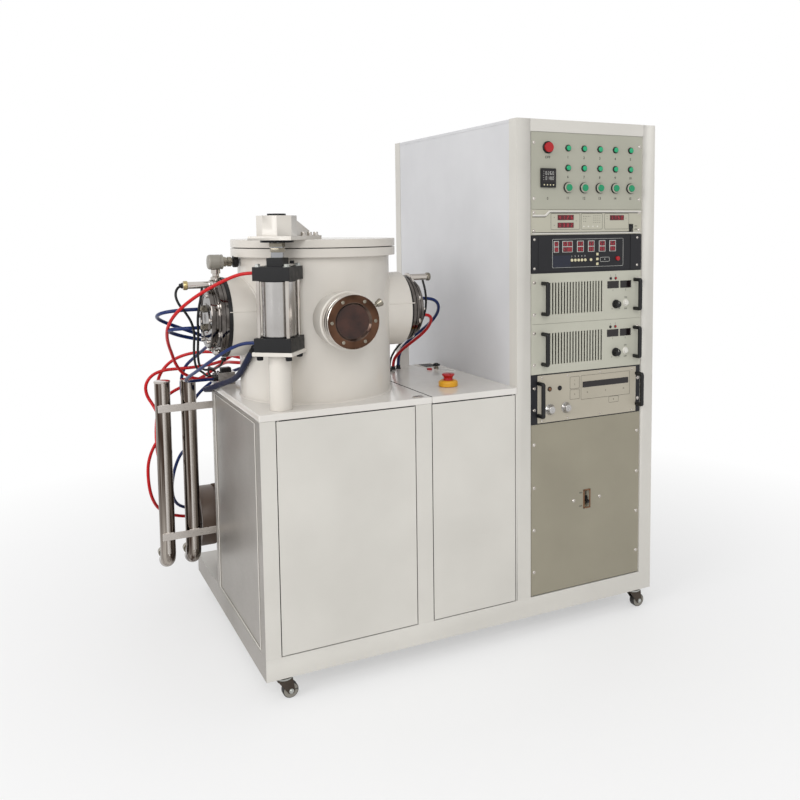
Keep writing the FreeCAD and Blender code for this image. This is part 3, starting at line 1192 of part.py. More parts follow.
def build():
    nodes = {
        "base_frame": base_frame(),
        "cabinet_frame": cabinet_frame(),
        "cabinet_panels": cabinet_panels(),
        "table_plates": table_plates(),
        "chamber_body": chamber_body(),
        "chamber_seal": chamber_seal(),
        "viewport_flange": viewport_flange(),
        "viewport_glass": viewport_glass(),
        "source_insulators": source_insulators(),
        "arc_sources": arc_sources(),
        "lift_supports": lift_supports(),
        "lift_cylinder": lift_cylinder(),
        "lift_rod": lift_rod(),
        "lid": lid(),
        "lid_arm": lid_arm(),
        "turntable": turntable(),
        "left_door": door(LEFT_DOOR_X, door_pivots()[0]),
        "right_door": door(RIGHT_DOOR_X, door_pivots()[1]),
        "cooling_manifold": cooling_manifold(),
        "vacuum_pump": vacuum_pump(),
        "air_valve": air_valve(),
        "control_panel": control_panel(),
        "display_unit": display_unit(),
        "indicator_unit": indicator_unit(),
        "upper_supply": power_supply("upper_supply"),
        "lower_supply": power_supply("lower_supply"),
        "gauge_unit": gauge_unit(),
        "blank_panel": group([blank_panel(), breaker_body()]),
        "pull_handles": pull_handles(),
        "estop_collar": estop_collar(),
        "estop_button": estop_button(),
        "power_rocker": power_rocker(),
        "breaker_toggle": breaker_toggle(),
        "reset_button": push_button("indicator_unit", RESET_BUTTON, BUTTON_PROUD + BUTTON_TRAVEL),
    }
    stop_x, stop_drop, stop_head = STOP_BUTTON
    stop_stem = (stop_x, stop_drop, stop_head - BUTTON_PROUD)
    proud = BEZEL_HEIGHT + BUTTON_TRAVEL
    nodes["panel_stop_button"] = push_button("control_panel", stop_stem, proud, stop_head)
    for number, (x, drop) in enumerate(start_buttons(), 1):
        nodes[f"start_button_{number}"] = push_button("control_panel", (x, drop, START_RADIUS), proud)
    for unit in ("upper_supply", "lower_supply"):
        nodes[f"{unit}_knob"] = knob(unit, SUPPLY_KNOB)
        nodes[f"{unit}_switch"] = push_button(unit, SUPPLY_SWITCH, BUTTON_PROUD + BUTTON_TRAVEL)
    for side, place in zip(("left", "right"), GAUGE_KNOBS):
        nodes[f"{side}_gauge_knob"] = knob("gauge_unit", place)
    corners = ("front_left", "front_right", "rear_left", "rear_right")
    for corner, place in zip(corners, caster_places()):
        nodes[f"{corner}_fork"] = caster_fork(*place)
        nodes[f"{corner}_wheel"] = caster_wheel(*place)
    for name, (diameter, route) in hose_routes().items():
        nodes[name] = hose_tube(route, diameter, name)
    return nodes


def export(nodes):
    os.makedirs("parts", exist_ok=True)
    for name, shape in nodes.items():
        moved = shape.copy()
        moved.translate(Vector(-ORIGIN_X, -ORIGIN_Y, 0))
        moved.exportStep(f"parts/{name}.step")


export(build())
print("origin", ORIGIN_X, ORIGIN_Y, "lift angle", round(LIFT_ANGLE, 4))
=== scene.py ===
import json
import math
import bpy
from mathutils import Matrix, Vector

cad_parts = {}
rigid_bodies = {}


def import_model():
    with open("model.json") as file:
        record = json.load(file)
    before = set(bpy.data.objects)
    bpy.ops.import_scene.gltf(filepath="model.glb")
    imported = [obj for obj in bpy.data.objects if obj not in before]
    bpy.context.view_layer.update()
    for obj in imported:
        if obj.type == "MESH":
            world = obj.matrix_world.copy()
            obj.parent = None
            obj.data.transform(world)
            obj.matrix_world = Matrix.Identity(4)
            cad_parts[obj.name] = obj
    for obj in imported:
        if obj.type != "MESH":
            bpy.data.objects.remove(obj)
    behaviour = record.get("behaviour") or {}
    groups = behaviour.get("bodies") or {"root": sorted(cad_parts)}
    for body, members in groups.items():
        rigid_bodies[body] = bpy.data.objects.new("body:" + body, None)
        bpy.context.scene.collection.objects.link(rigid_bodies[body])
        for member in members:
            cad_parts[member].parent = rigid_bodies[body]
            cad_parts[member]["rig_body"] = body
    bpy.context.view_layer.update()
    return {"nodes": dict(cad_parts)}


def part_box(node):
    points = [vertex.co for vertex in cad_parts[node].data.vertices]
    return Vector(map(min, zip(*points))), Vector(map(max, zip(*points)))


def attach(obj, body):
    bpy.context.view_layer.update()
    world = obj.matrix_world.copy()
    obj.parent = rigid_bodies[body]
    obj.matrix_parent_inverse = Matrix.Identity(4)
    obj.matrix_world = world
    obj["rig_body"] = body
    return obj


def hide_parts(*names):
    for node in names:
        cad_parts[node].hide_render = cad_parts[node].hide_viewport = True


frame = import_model()

# Sizes here are millimetres. Places are millimetres from the front left corner of the base,
# at floor level, with X to the right, Y to the back and Z up. SPACE turns them into metres in
# the frame that the CAD model shares.
MM = 0.001
CORNER = Vector((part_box("base_frame")[0].x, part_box("base_frame")[0].y, 0))
SPACE = Matrix.Translation(CORNER) @ Matrix.Scale(MM, 4)

# Main sizes of the machine: the cabinet's width and its two depths, the worktable's faces and
# seam, the chamber's axis and ports, the lift's axis and air connections, pipes and rack
WIDTH = 1505
DEPTH = 1020
LOW_DEPTH = 655
TABLE_UNDER = 888
TABLE = 910
TABLE_SEAM = 577
CHAMBER = (288, 320)
CHAMBER_RADIUS = 255
FLANGE_RADIUS = 276
PORT_Z = 1180
PORT_REACH = 310
RING_THICKNESS = 12
STRIKER_Z = 1288
LIFT = (86.02, 59.99)
LIFT_TURN = 52.16
AIR_PORTS = (1116, 1332)
PIPES_X = (-168, -77)
PIPE_Y = 688
RACK_LEFT = 963.7
FACE_FRONT = 2
UNIT_TOPS = {"control_panel": 1792.65, "display_unit": 1525.95, "indicator_unit": 1437.05,
             "upper_supply": 1303.7, "lower_supply": 1125.9, "gauge_unit": 948.1, "blank_panel": 770.3}


def spot(x, y, z):
    """A place of the machine in the frame's metres."""
    return SPACE @ Vector((x, y, z))


def lift_spot(along, across, z):
    """A place measured from the lift's axis: along points to the chamber, across to its left."""
    turn = math.radians(LIFT_TURN)
    x = LIFT[0] + along * math.cos(turn) - across * math.sin(turn)
    y = LIFT[1] + along * math.sin(turn) + across * math.cos(turn)
    return (x, y, z)


def round_chamber(degrees, radius, z):
    """A place around the chamber's axis, in degrees from the right towards the back."""
    angle = math.radians(degrees)
    return (CHAMBER[0] + radius * math.cos(angle), CHAMBER[1] + radius * math.sin(angle), z)


def rack_spot(unit, offset, drop, y=FACE_FRONT):
    """A place on a rack unit's face, measured from its upper left corner."""
    return (RACK_LEFT + offset, y, UNIT_TOPS[unit] - drop)


# Camera

def camera():
    """The photograph's camera: its place, turn, lens and shift lay the model on the photo."""
    data = bpy.data.cameras.new("camera")
    data.lens = 39.33
    data.sensor_width = 36
    data.shift_x = -0.0707
    data.shift_y = -0.1203
    data.clip_end = 50
    viewer = bpy.data.objects.new("camera", data)
    viewer.location = (-1.326279, -3.037595, 1.46902)
    viewer.rotation_euler = (math.radians(90) - 0.088, 0.008, -0.484)
    bpy.context.scene.collection.objects.link(viewer)
    bpy.context.scene.camera = viewer


camera()


# Colours and material nodes

def linear(hex_colour):
    """An sRGB hex value as linear red, green, blue and alpha."""
    values = [int(hex_colour[i:i + 2], 16) / 255 for i in (1, 3, 5)]
    return tuple(v / 12.92 if v <= 0.04045 else ((v + 0.055) / 1.055) ** 2.4 for v in values) + (1,)


def add_node(tree, kind, settings=None, inputs=None):
    """Adds a node, sets its own properties, then sets or links its inputs."""
    made = tree.nodes.new(kind)
    for name, value in (settings or {}).items():
        setattr(made, name, value)
    for name, value in (inputs or {}).items():
        if isinstance(value, bpy.types.NodeSocket):
            tree.links.new(value, made.inputs[name])
        else:
            made.inputs[name].default_value = value
    return made


def new_material(name, **sockets):
    """A material with one shader, whose constants are set on the shader's own sockets."""
    material = bpy.data.materials.new(name)
    material.use_nodes = True
    shader = material.node_tree.nodes["Principled BSDF"]
    for socket, value in sockets.items():
        shader.inputs[socket.replace("_", " ")].default_value = value
    return material, material.node_tree, shader


def noise(tree, size, detail=2.0, stretch=(1, 1, 1), rough=0.5):
    """Noise on the object's own coordinates, with blotches about size millimetres across."""
    place = add_node(tree, "ShaderNodeTexCoord").outputs["Object"]
    mapped = add_node(tree, "ShaderNodeMapping", inputs={"Vector": place, "Scale": stretch})
    return add_node(tree, "ShaderNodeTexNoise", inputs={
        "Vector": mapped.outputs["Vector"], "Scale": 1 / (size * MM), "Detail": detail,
        "Roughness": rough}).outputs["Fac"]


def ramp(tree, value, low, high, to_low, to_high):
    """A value's range from low to high, laid on another range."""
    return add_node(tree, "ShaderNodeMapRange", inputs={
        "Value": value, "From Min": low, "From Max": high, "To Min": to_low, "To Max": to_high
    }).outputs["Result"]


def mix_colours(tree, share, first, second):
    """The first colour where the share is 0, the second where it is 1."""
    mixer = add_node(tree, "ShaderNodeMix", {"data_type": "RGBA"}, {"Factor": share})
    for index, value in ((6, first), (7, second)):
        if isinstance(value, bpy.types.NodeSocket):
            tree.links.new(value, mixer.inputs[index])
        else:
            mixer.inputs[index].default_value = value
    return mixer.outputs[2]


def relief(tree, shader, height, depth):
    """Bumps whose full height is depth millimetres."""
    bump = add_node(tree, "ShaderNodeBump", inputs={
        "Height": height, "Distance": depth * MM, "Strength": 1.0})
    tree.links.new(bump.outputs["Normal"], shader.inputs["Normal"])


# Finishes

def coated_steel(name, colour, shade, rough=(0.32, 0.44), peel=2.5, peel_depth=0.04, scuff=0.3, **sockets):
    """Powder or enamel, sprayed on steel and baked: an even skin with orange peel, faint clouds and
    scuffs. The peel is drawn a few times coarser than the real one, so that it shows."""
    material, tree, shader = new_material(name, Metallic=0.0, IOR=1.5, **sockets)
    clouds = noise(tree, 260, 3)
    scuffs = noise(tree, 35, 6, (1, 1, 0.35), 0.65)
    tone = mix_colours(tree, ramp(tree, clouds, 0.3, 0.7, 0, 1), linear(colour), linear(shade))
    marked = mix_colours(tree, ramp(tree, scuffs, 0.66, 0.8, 0, scuff), tone, linear(shade))
    tree.links.new(marked, shader.inputs["Base Color"])
    tree.links.new(ramp(tree, scuffs, 0.3, 0.7, *rough), shader.inputs["Roughness"])
    relief(tree, shader, noise(tree, peel, 1), peel_depth)
    return material


def worked_metal(name, colour, shade, rough, grain=(1, 1, 1), grain_size=6, clouds=90, depth=0.01):
    """Bare or plated metal with the lines or the clouds that its finishing left, stretched along
    the grain. The lines are drawn coarser than real ones, so that they show."""
    material, tree, shader = new_material(name, Metallic=1.0)
    lines = noise(tree, grain_size, 5, grain, 0.6)
    tone = mix_colours(tree, ramp(tree, noise(tree, clouds, 3), 0.3, 0.7, 0, 1), linear(colour),
                       linear(shade))
    tree.links.new(tone, shader.inputs["Base Color"])
    tree.links.new(ramp(tree, lines, 0.25, 0.75, *rough), shader.inputs["Roughness"])
    relief(tree, shader, lines, depth)
    return material


def moulded(name, colour, shade, rough=0.4, grain=1.2, depth=0.03, **sockets):
    """Moulded plastic or rubber: one colour right through, made satin by the mould's spark-eroded
    grain. The grain is drawn coarser than the real one, so that it shows."""
    material, tree, shader = new_material(name, Metallic=0.0, IOR=1.47, **sockets)
    tone = mix_colours(tree, noise(tree, 30, 3), linear(colour), linear(shade))
    tree.links.new(tone, shader.inputs["Base Color"])
    tree.links.new(ramp(tree, noise(tree, 18, 4), 0.3, 0.7, rough * 0.85, rough * 1.2),
                   shader.inputs["Roughness"])
    relief(tree, shader, noise(tree, grain, 1), depth)
    return material


def polyurethane(name, colour, shade):
    """Extruded polyurethane hose: glossy and a little wavy from the die, its colour drifting slowly."""
    material, tree, shader = new_material(name, Roughness=0.3, IOR=1.5, Specular_IOR_Level=0.28)
    tone = mix_colours(tree, noise(tree, 40), linear(colour), linear(shade))
    tree.links.new(tone, shader.inputs["Base Color"])
    relief(tree, shader, noise(tree, 12, 1), 0.2)
    return material


def lit_plastic(name, colour, glow, strength):
    """A lens with a lamp behind it: clear plastic that shines a little by itself."""
    material, tree, shader = new_material(name, Roughness=0.18, IOR=1.5, Emission_Strength=strength)
    tone = mix_colours(tree, noise(tree, 5), linear(colour), linear(glow))
    tree.links.new(tone, shader.inputs["Base Color"])
    tree.links.new(tone, shader.inputs["Emission Color"])
    return material


# Powder coat on pressed sheet: sprayed dry and baked, so it is even, satin and off-white.
PAINT = coated_steel("powder_coated_steel_white", "#D3D0C9", "#CBC8C1")
# The panels' paint is a cooler copy of the frame's: its cool tint is painted light.
COOL_LIT_PAINT = coated_steel("powder_coated_sheet_painted_cool_light", "#D4D4D6", "#CCCCCE")

# Gloss enamel on the welded chamber and the table: it flows out smooth before it sets, so it
# mirrors the room softly, in wide and shallow waves.
CHAMBER_PAINT = coated_steel("gloss_enamelled_steel_cream_white", "#D6D1C9", "#CCC6BD", (0.14, 0.24), 7,
                             0.03, 0.25)
TABLE_PAINT = coated_steel("gloss_enamelled_table_steel", "#DEDBD6", "#D6D2CC", (0.1, 0.2), 6, 0.02, 0.15)

# Stove enamel on the rack units' faces: flat, satin greys that differ a little from unit to unit.
CONTROL_PAINT = coated_steel("enamelled_panel_steel_grey", "#ABAA9C", "#A3A294")
SUPPLY_PAINT = coated_steel("enamelled_panel_steel_pale_grey", "#BDBCAE", "#B5B4A6")
DISPLAY_PAINT = coated_steel("enamelled_panel_steel_beige", "#B9B6A6", "#B0AD9D")
GAUGE_PAINT = coated_steel("enamelled_panel_steel_warm_grey", "#B5AE9E", "#ABA494")
BLANK_PAINT = coated_steel("enamelled_panel_steel_dark_beige", "#97917F", "#8D8776")

# Textured black enamel: its pebbled skin scatters the light, so it looks nearly matt.
BLACK_PAINT = coated_steel("textured_black_enamel", "#1C1C21", "#161619", (0.46, 0.6), 1.4, 0.08,
                           Specular_IOR_Level=0.35)

# Machine enamel, sprayed over castings and filler: satin and a little uneven.
GREY_PAINT = coated_steel("machine_enamel_grey", "#8C887F", "#827E75", (0.35, 0.5))
MOTOR_PAINT = coated_steel("machine_enamel_brown_grey", "#6A5A4E", "#594A40", (0.35, 0.5))
PUMP_PAINT = coated_steel("machine_enamel_blue_grey", "#6E7478", "#646A6E", (0.35, 0.5))

# Stainless steel: brushing and turning leave lines that draw the highlights out across them, and
# polishing leaves a near mirror. The viewport's front face is a dark brown stainless; the viewport's
# bore, the arc sources' stacks and the low left side take darker copies that are painted shade.
BRUSHED = worked_metal("brushed_stainless_steel", "#CFC9C3", "#C3BDB7", (0.24, 0.36), (1, 1, 14), 20)
TURNED = worked_metal("turned_stainless_steel", "#CCC6C0", "#BDB7B0", (0.12, 0.24), (1, 1, 30), 14)
POLISHED = worked_metal("polished_stainless_steel", "#C9C4BE", "#B6AFA8", (0.04, 0.1), grain_size=25)
BROWN_STEEL = worked_metal("dark_brown_stainless_steel", "#664A3A", "#241913", (0.05, 0.12),
                            grain_size=25, clouds=80)
# Painted shade: the viewport's bore is a dark brown steel.
SHADED_BORE = worked_metal("steel_bore_painted_shade", "#6A5A50", "#2A1E1A", (0.06, 0.14), grain_size=20, clouds=40)
# Painted shade: a darker brushed sheet for the low left side's frame and panel.
SHADE_SHEET = worked_metal("brushed_sheet_painted_shade", "#A8A39D", "#97928B", (0.3, 0.42), (1, 1, 12), 20, 240)
DARK_POLISHED = worked_metal("polished_stainless_in_shade", "#77726E", "#3E3936", (0.05, 0.12),
                             grain_size=25, clouds=45)

# Plated, anodised and cast metals: nickel and chrome stay bright, passivated zinc turns straw
# yellow, the casters' steel is a dark brown-grey, anodising leaves aluminium satin with fine
# lines, and black oxide is a thin dark skin on the screws.
NICKEL = worked_metal("nickel_plated_brass", "#9C968A", "#7E786C", (0.16, 0.28), grain_size=8)
STRAW_ZINC = worked_metal("yellow_passivated_zinc", "#B9A878", "#A08E5E", (0.2, 0.34), grain_size=8)
CHROME = worked_metal("hard_chrome", "#A6A7AA", "#97989B", (0.03, 0.06), grain_size=10)
ALUMINIUM = worked_metal("anodised_aluminium", "#BDBBB9", "#A9A6A3", (0.2, 0.3), (1, 1, 0.05), 12, 160)
ZINC = worked_metal("zinc_plated_steel", "#B9BBB8", "#A6A8A2", (0.25, 0.42), grain_size=8)
CASTER_STEEL = worked_metal("dark_caster_steel", "#544C45", "#38322D", (0.32, 0.5), grain_size=8)
BRASS = worked_metal("brass", "#C9A85C", "#B28F45", (0.18, 0.3), grain_size=8)
BLACK_STEEL = worked_metal("black_oxide_steel", "#2A2A2C", "#1E1E20", (0.3, 0.45), grain_size=4)
BLACK_ANODISED = moulded("black_anodised_aluminium", "#0F0F11", "#0A0A0C", 0.42, 2.0, 0.02,
                         Specular_IOR_Level=0.35)

# Mouldings: nylon and rubber are satin from the mould's grain, buttons and lamp caps come from
# polished moulds and shine, and turned plastic insulators are a dull, even white.
BLACK_PLASTIC = moulded("moulded_nylon_black", "#121214", "#0D0D0E", 0.4, Specular_IOR_Level=0.4)
# The black rubber also darkens the doors' edges, as painted shadow in the gaps around them.
RUBBER_AND_GAP_SHADOW = moulded("nitrile_rubber_black_and_painted_gap_shadow", "#1A1918", "#131211", 0.62)
CERAMIC = moulded("white_ptfe_insulator", "#E6E3DC", "#DAD7CF", 0.45)
WHITE_PLASTIC = moulded("moulded_abs_white", "#E2E0D8", "#D8D6CE", 0.32)
CREAM_PLASTIC = moulded("moulded_abs_cream", "#D8CFAE", "#CCC39F", 0.32)
RED_PLASTIC = moulded("moulded_abs_red", "#B3161E", "#9C1018", 0.28)
GREEN_PLASTIC = moulded("moulded_acrylic_green", "#149667", "#0E8054", 0.22)
YELLOW_PLASTIC = moulded("moulded_nylon_yellow", "#E2A520", "#D3971A", 0.36)
AMBER_PLASTIC = moulded("moulded_phenolic_brown", "#7A5230", "#684326", 0.34)
WHEEL_RUBBER = moulded("wheel_rubber_dark", "#2B2826", "#211F1D", 0.55)

# Hoses and cables: clear colours with one long highlight along each, cable sheaths duller.
HOSE_RED = polyurethane("polyurethane_hose_red", "#C81217", "#AE0D12")
HOSE_BLUE = polyurethane("polyurethane_hose_blue", "#132C66", "#0D1E4C")
CABLE_BLACK = moulded("pvc_cable_black", "#111214", "#0B0C0D", 0.42, Specular_IOR_Level=0.3)
CABLE_NAVY = moulded("rubber_hose_navy", "#101A3E", "#0B122C", 0.42, Specular_IOR_Level=0.25)

# Lit parts, and windows of smoked acrylic that look nearly black where nothing behind them shines.
GREEN_LENS = lit_plastic("green_lamp_lens", "#118A5C", "#1BA873", 0.12)
RED_DIGITS = lit_plastic("red_led_window", "#3E0A12", "#5E0E1A", 0.06)
RED_LIT = lit_plastic("red_led_segment", "#A01E2C", "#C02C3C", 0.3)
DARK_WINDOW = moulded("smoked_acrylic_window", "#1C1416", "#120C0E", 0.12, 3.0, 0.0)
BLUE_WINDOW = moulded("blue_lcd_window", "#10172E", "#0B1022", 0.15, 3.0, 0.0)

# Screen-printed legends: a thin, dull ink.
LEGEND = moulded("printed_legend_dark", "#33322C", "#2B2A25", 0.5)
PALE_LEGEND = moulded("printed_legend_pale", "#C9C9C4", "#BDBDB8", 0.5)


def tube_with_painted_reflections():
    """Polished stainless tube: mirror bright, with long dark and bright streaks along its length that are
    painted reflections of the room.
    """
    material, tree, shader = new_material("polished_stainless_tube_painted_reflections", Metallic=1.0)
    # Painted reflections: dark and bright streaks stretched along the tube.
    painted_reflections = noise(tree, 16, 3, (1, 1, 0.03), 0.55)
    tone = mix_colours(tree, ramp(tree, painted_reflections, 0.38, 0.62, 0, 1), linear("#43362E"), linear("#ACA49B"))
    tree.links.new(tone, shader.inputs["Base Color"])
    tree.links.new(ramp(tree, noise(tree, 9, 4), 0.3, 0.7, 0.07, 0.18), shader.inputs["Roughness"])
    return material


REFLECTION_PAINTED_TUBE = tube_with_painted_reflections()


def sight_glass():
    """Tinted borosilicate disc: nearly mirror smooth, brown by transmission, film-coated inside."""
    material, tree, shader = new_material("tinted_borosilicate_glass", Roughness=0.04, IOR=1.47,
                                          Transmission_Weight=0.3, Specular_IOR_Level=0.35)
    tone = mix_colours(tree, ramp(tree, noise(tree, 45, 3), 0.3, 0.7, 0, 1), linear("#4E2E23"),
                       linear("#21120E"))
    tree.links.new(tone, shader.inputs["Base Color"])
    return material


GLASS = sight_glass()


# Tools: each works in millimetres on a piece that stands in the machine's own place

bpy.context.scene.tool_settings.mesh_select_mode = (False, False, True)


def choose(*pieces):
    """Selects the pieces alone, the first of them active."""
    bpy.ops.object.select_all(action="DESELECT")
    for piece in pieces:
        piece.select_set(True)
    bpy.context.view_layer.objects.active = pieces[0]


def modified(piece, kind, **settings):
    """Applies one modifier to a piece."""
    choose(piece)
    change = piece.modifiers.new(kind.lower(), kind)
    for name, value in settings.items():
        setattr(change, name, value)
    bpy.ops.object.modifier_apply(modifier=change.name)
    return piece


def eased(piece, edge, segments=2):
    """Rounds a piece's sharp edges by edge millimetres."""
    return modified(piece, "BEVEL", width=edge, segments=segments, limit_method="ANGLE",
                    angle_limit=math.radians(30), use_clamp_overlap=True)


def turned(outline, sides=48, ring=False):
    """A piece turned about Z, from (radius, height) points. A ring's outline closes on itself."""
    bpy.ops.object.select_all(action="DESELECT")
    bpy.ops.mesh.primitive_circle_add(vertices=sides, radius=outline[0][0], enter_editmode=True,
                                      fill_type="NOTHING" if ring else "NGON")
    bpy.ops.mesh.select_mode(type="EDGE" if ring else "FACE")
    bpy.ops.mesh.select_all(action="SELECT")
    bpy.ops.transform.translate(value=(0, 0, outline[0][1]))
    stops = outline + outline[:1] if ring else outline
    for (radius, height), (wider, higher) in zip(stops, stops[1:]):
        bpy.ops.mesh.extrude_region_move(TRANSFORM_OT_translate={"value": (0, 0, higher - height)})
        ratio = wider / radius
        bpy.ops.transform.resize(value=(ratio, ratio, 1), center_override=(0, 0, higher))
    bpy.ops.mesh.select_all(action="SELECT")
    if ring:
        bpy.ops.mesh.remove_doubles(threshold=0.001)
    bpy.ops.mesh.normals_make_consistent(inside=False)
    bpy.ops.mesh.select_mode(type="FACE")
    bpy.ops.object.mode_set(mode="OBJECT")
    return bpy.context.object


def slab(low, high, edge=1.0, segments=2):
    """A block between two corners, with its edges rounded."""
    bpy.ops.object.select_all(action="DESELECT")
    size = [b - a for a, b in zip(low, high)]
    centre = [(a + b) / 2 for a, b in zip(low, high)]
    bpy.ops.mesh.primitive_cube_add(size=1, location=centre, scale=size)
    bpy.ops.object.transform_apply(location=True, rotation=True, scale=True)
    return eased(bpy.context.object, edge, segments)


def cut_out(outline, thickness):
    """A sharp-edged plate that stands on the origin, with an outline of (x, y) points."""
    bpy.ops.object.select_all(action="DESELECT")
    bpy.ops.mesh.primitive_circle_add(vertices=len(outline), radius=1, fill_type="NGON")
    plate = bpy.context.object
    for vertex, place in zip(plate.data.vertices, outline):
        vertex.co = (*place, 0)
    bpy.ops.object.mode_set(mode="EDIT")
    bpy.ops.mesh.select_all(action="SELECT")
    bpy.ops.mesh.extrude_region_move(TRANSFORM_OT_translate={"value": (0, 0, thickness)})
    bpy.ops.mesh.select_all(action="SELECT")
    bpy.ops.mesh.normals_make_consistent(inside=False)
    bpy.ops.object.mode_set(mode="OBJECT")
    return plate


def facing(place, direction=(0, 0, 1), turn=0):
    """The matrix that stands a piece made along Z at a place, along another direction."""
    tilt = Vector(direction).to_track_quat("Z", "Y").to_matrix().to_4x4()
    return Matrix.Translation(place) @ tilt @ Matrix.Rotation(math.radians(turn), 4, "Z")


def moved(piece, matrix):
    """The piece, with its mesh moved by the matrix."""
    piece.data.transform(matrix)
    return piece


def coated(piece, material):
    """The piece, in one finish."""
    piece.data.materials.clear()
    piece.data.materials.append(material)
    return piece


def turned_at(matrix, material, outline, sides, ring=False):
    """A turned piece, moved by a matrix and in its finish."""
    return coated(moved(turned(outline, sides, ring), matrix), material)


def around(centre, count, radius=0, rise=0, first=0):
    """Matrices evenly turned about a centre's own Z axis, each radius out from it and rise along it."""
    return [centre @ Matrix.Rotation(math.tau * (k + first) / count, 4, "Z")
            @ Matrix.Translation((radius, 0, rise)) for k in range(count)]


def copies(piece, places):
    """Copies of a piece, each with its own mesh, one at each matrix. The piece itself is used up."""
    made = []
    for matrix in places:
        twin = bpy.data.objects.new(piece.name, piece.data.copy())
        twin.data.transform(matrix)
        bpy.context.scene.collection.objects.link(twin)
        made.append(twin)
    bpy.data.objects.remove(piece)
    return made


def joined(*pieces):
    """All the pieces as one, which is the first of them."""
    choose(*pieces)
    if len(pieces) > 1:
        bpy.ops.object.join()
    return bpy.context.view_layer.objects.active


def fit(piece, name, material=None, body="frame", node=None, angle=35):
    """Names a finished piece, gives it its finish and sets it in the frame, on its body."""
    piece.name = name
    piece.data.name = name
    if material:
        coated(piece, material)
    piece.data.transform(SPACE)
    choose(piece)
    bpy.ops.object.shade_smooth_by_angle(angle=math.radians(angle))
    modified(piece, "WEIGHTED_NORMAL", keep_sharp=True)
    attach(piece, body)
    if node:
        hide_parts(node)
    return piece


def reached(x, y):
    """How far a place is from the lift's axis."""
    return math.hypot(x - LIFT[0], y - LIFT[1])


def painted_where(piece, finishes):
    """Gives each face the last finish whose test its centre and normal pass, in millimetres."""
    for material, test in finishes:
        piece.data.materials.append(material)
        index = len(piece.data.materials) - 1
        for face in piece.data.polygons:
            if test(face.center, face.normal):
                face.material_index = index


def largest_part(piece):
    """Keeps the largest of a piece's loose parts, where new pieces stand for the others."""
    choose(piece)
    bpy.ops.object.mode_set(mode="EDIT")
    bpy.ops.mesh.select_all(action="SELECT")
    bpy.ops.mesh.separate(type="LOOSE")
    bpy.ops.object.mode_set(mode="OBJECT")
    parts = sorted(bpy.context.selected_objects, key=lambda part: max(part.dimensions))
    for part in parts[:-1]:
        bpy.data.objects.remove(part)
    return parts[-1]


def dressed(node, name, material, edge=1.0, segments=2, finishes=(), body_only=False, angle=35):
    """A node's own shape with its edges rounded, as the press, the torch or the mould leaves them."""
    source = frame["nodes"][node]
    piece = bpy.data.objects.new(name, source.data.copy())
    bpy.context.scene.collection.objects.link(piece)
    piece.data.transform(SPACE.inverted())
    choose(piece)
    bpy.ops.object.mode_set(mode="EDIT")
    bpy.ops.mesh.select_all(action="SELECT")
    bpy.ops.mesh.remove_doubles(threshold=0.01)
    bpy.ops.mesh.select_all(action="SELECT")
    bpy.ops.mesh.dissolve_limited(angle_limit=math.radians(0.5))
    bpy.ops.object.mode_set(mode="OBJECT")
    if body_only:
        piece = largest_part(piece)
    if edge:
        eased(piece, edge, segments)
    coated(piece, material)
    painted_where(piece, finishes)
    return fit(piece, name, body=source["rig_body"], node=node, angle=angle)


# Small hardware, made along Z with its seat at the origin

def cap_screw(radius, height):
    """A socket head cap screw's head."""
    socket = radius * 0.5
    return turned([(radius, 0), (radius, height * 0.86), (radius * 0.88, height), (socket, height),
                   (socket, height * 0.4), (0.1, height * 0.36)], 20)


def hex_bolt(across, height):
    """A hexagon bolt's head on its washer."""
    head = turned([(across * 0.57, 1.6), (across * 0.57, height * 0.85), (across * 0.48, height),
                   (0.1, height)], 6)
    washer = turned([(across * 0.78, 0), (across * 0.78, 1.6), (across * 0.3, 1.6)], 20)
    return joined(head, washer)


def pan_screw(radius):
    """A domed panel screw with a dimple for its driver."""
    return turned([(radius, 0), (radius, 0.5), (radius * 0.85, 1.5), (radius * 0.5, 2.2),
                   (radius * 0.28, 2.3), (radius * 0.2, 1.2), (0.1, 1.1)], 16)


def hardware(name, pattern, places, material, body="frame"):
    """One piece made of like fasteners: the pattern copied to every place."""
    return fit(joined(*copies(pattern, places)), name, material, body=body)


def wire(points, diameter, corner=8, closed=False, bevel=3):
    """A bent rod, bead or printed line along places, with its corners rounded."""
    curve = bpy.data.curves.new("wire", "CURVE")
    curve.dimensions = "3D"
    line = curve.splines.new("POLY")
    path = softened([Vector(point) for point in points], corner) if corner else [Vector(p) for p in points]
    line.points.add(len(path) - 1)
    for point, place in zip(line.points, path):
        point.co = (*place, 1)
    line.use_cyclic_u = closed
    curve.bevel_depth = diameter / 2
    curve.bevel_resolution = bevel
    curve.use_fill_caps = not closed
    rod = bpy.data.objects.new("wire", curve)
    bpy.context.scene.collection.objects.link(rod)
    choose(rod)
    bpy.ops.object.convert(target="MESH")
    return bpy.context.object


def softened(points, radius, steps=5):
    """The points of a line with each corner replaced by a curve that starts radius from it."""
    path = [points[0]]
    for before, corner, after in zip(points, points[1:], points[2:]):
        arrive = corner + (before - corner).normalized() * min(radius, (before - corner).length / 2)
        leave = corner + (after - corner).normalized() * min(radius, (after - corner).length / 2)
        for step in range(steps + 1):
            share = step / steps
            path.append(arrive.lerp(corner, share).lerp(corner.lerp(leave, share), share))
    return path + [points[-1]]


INK = 0.15


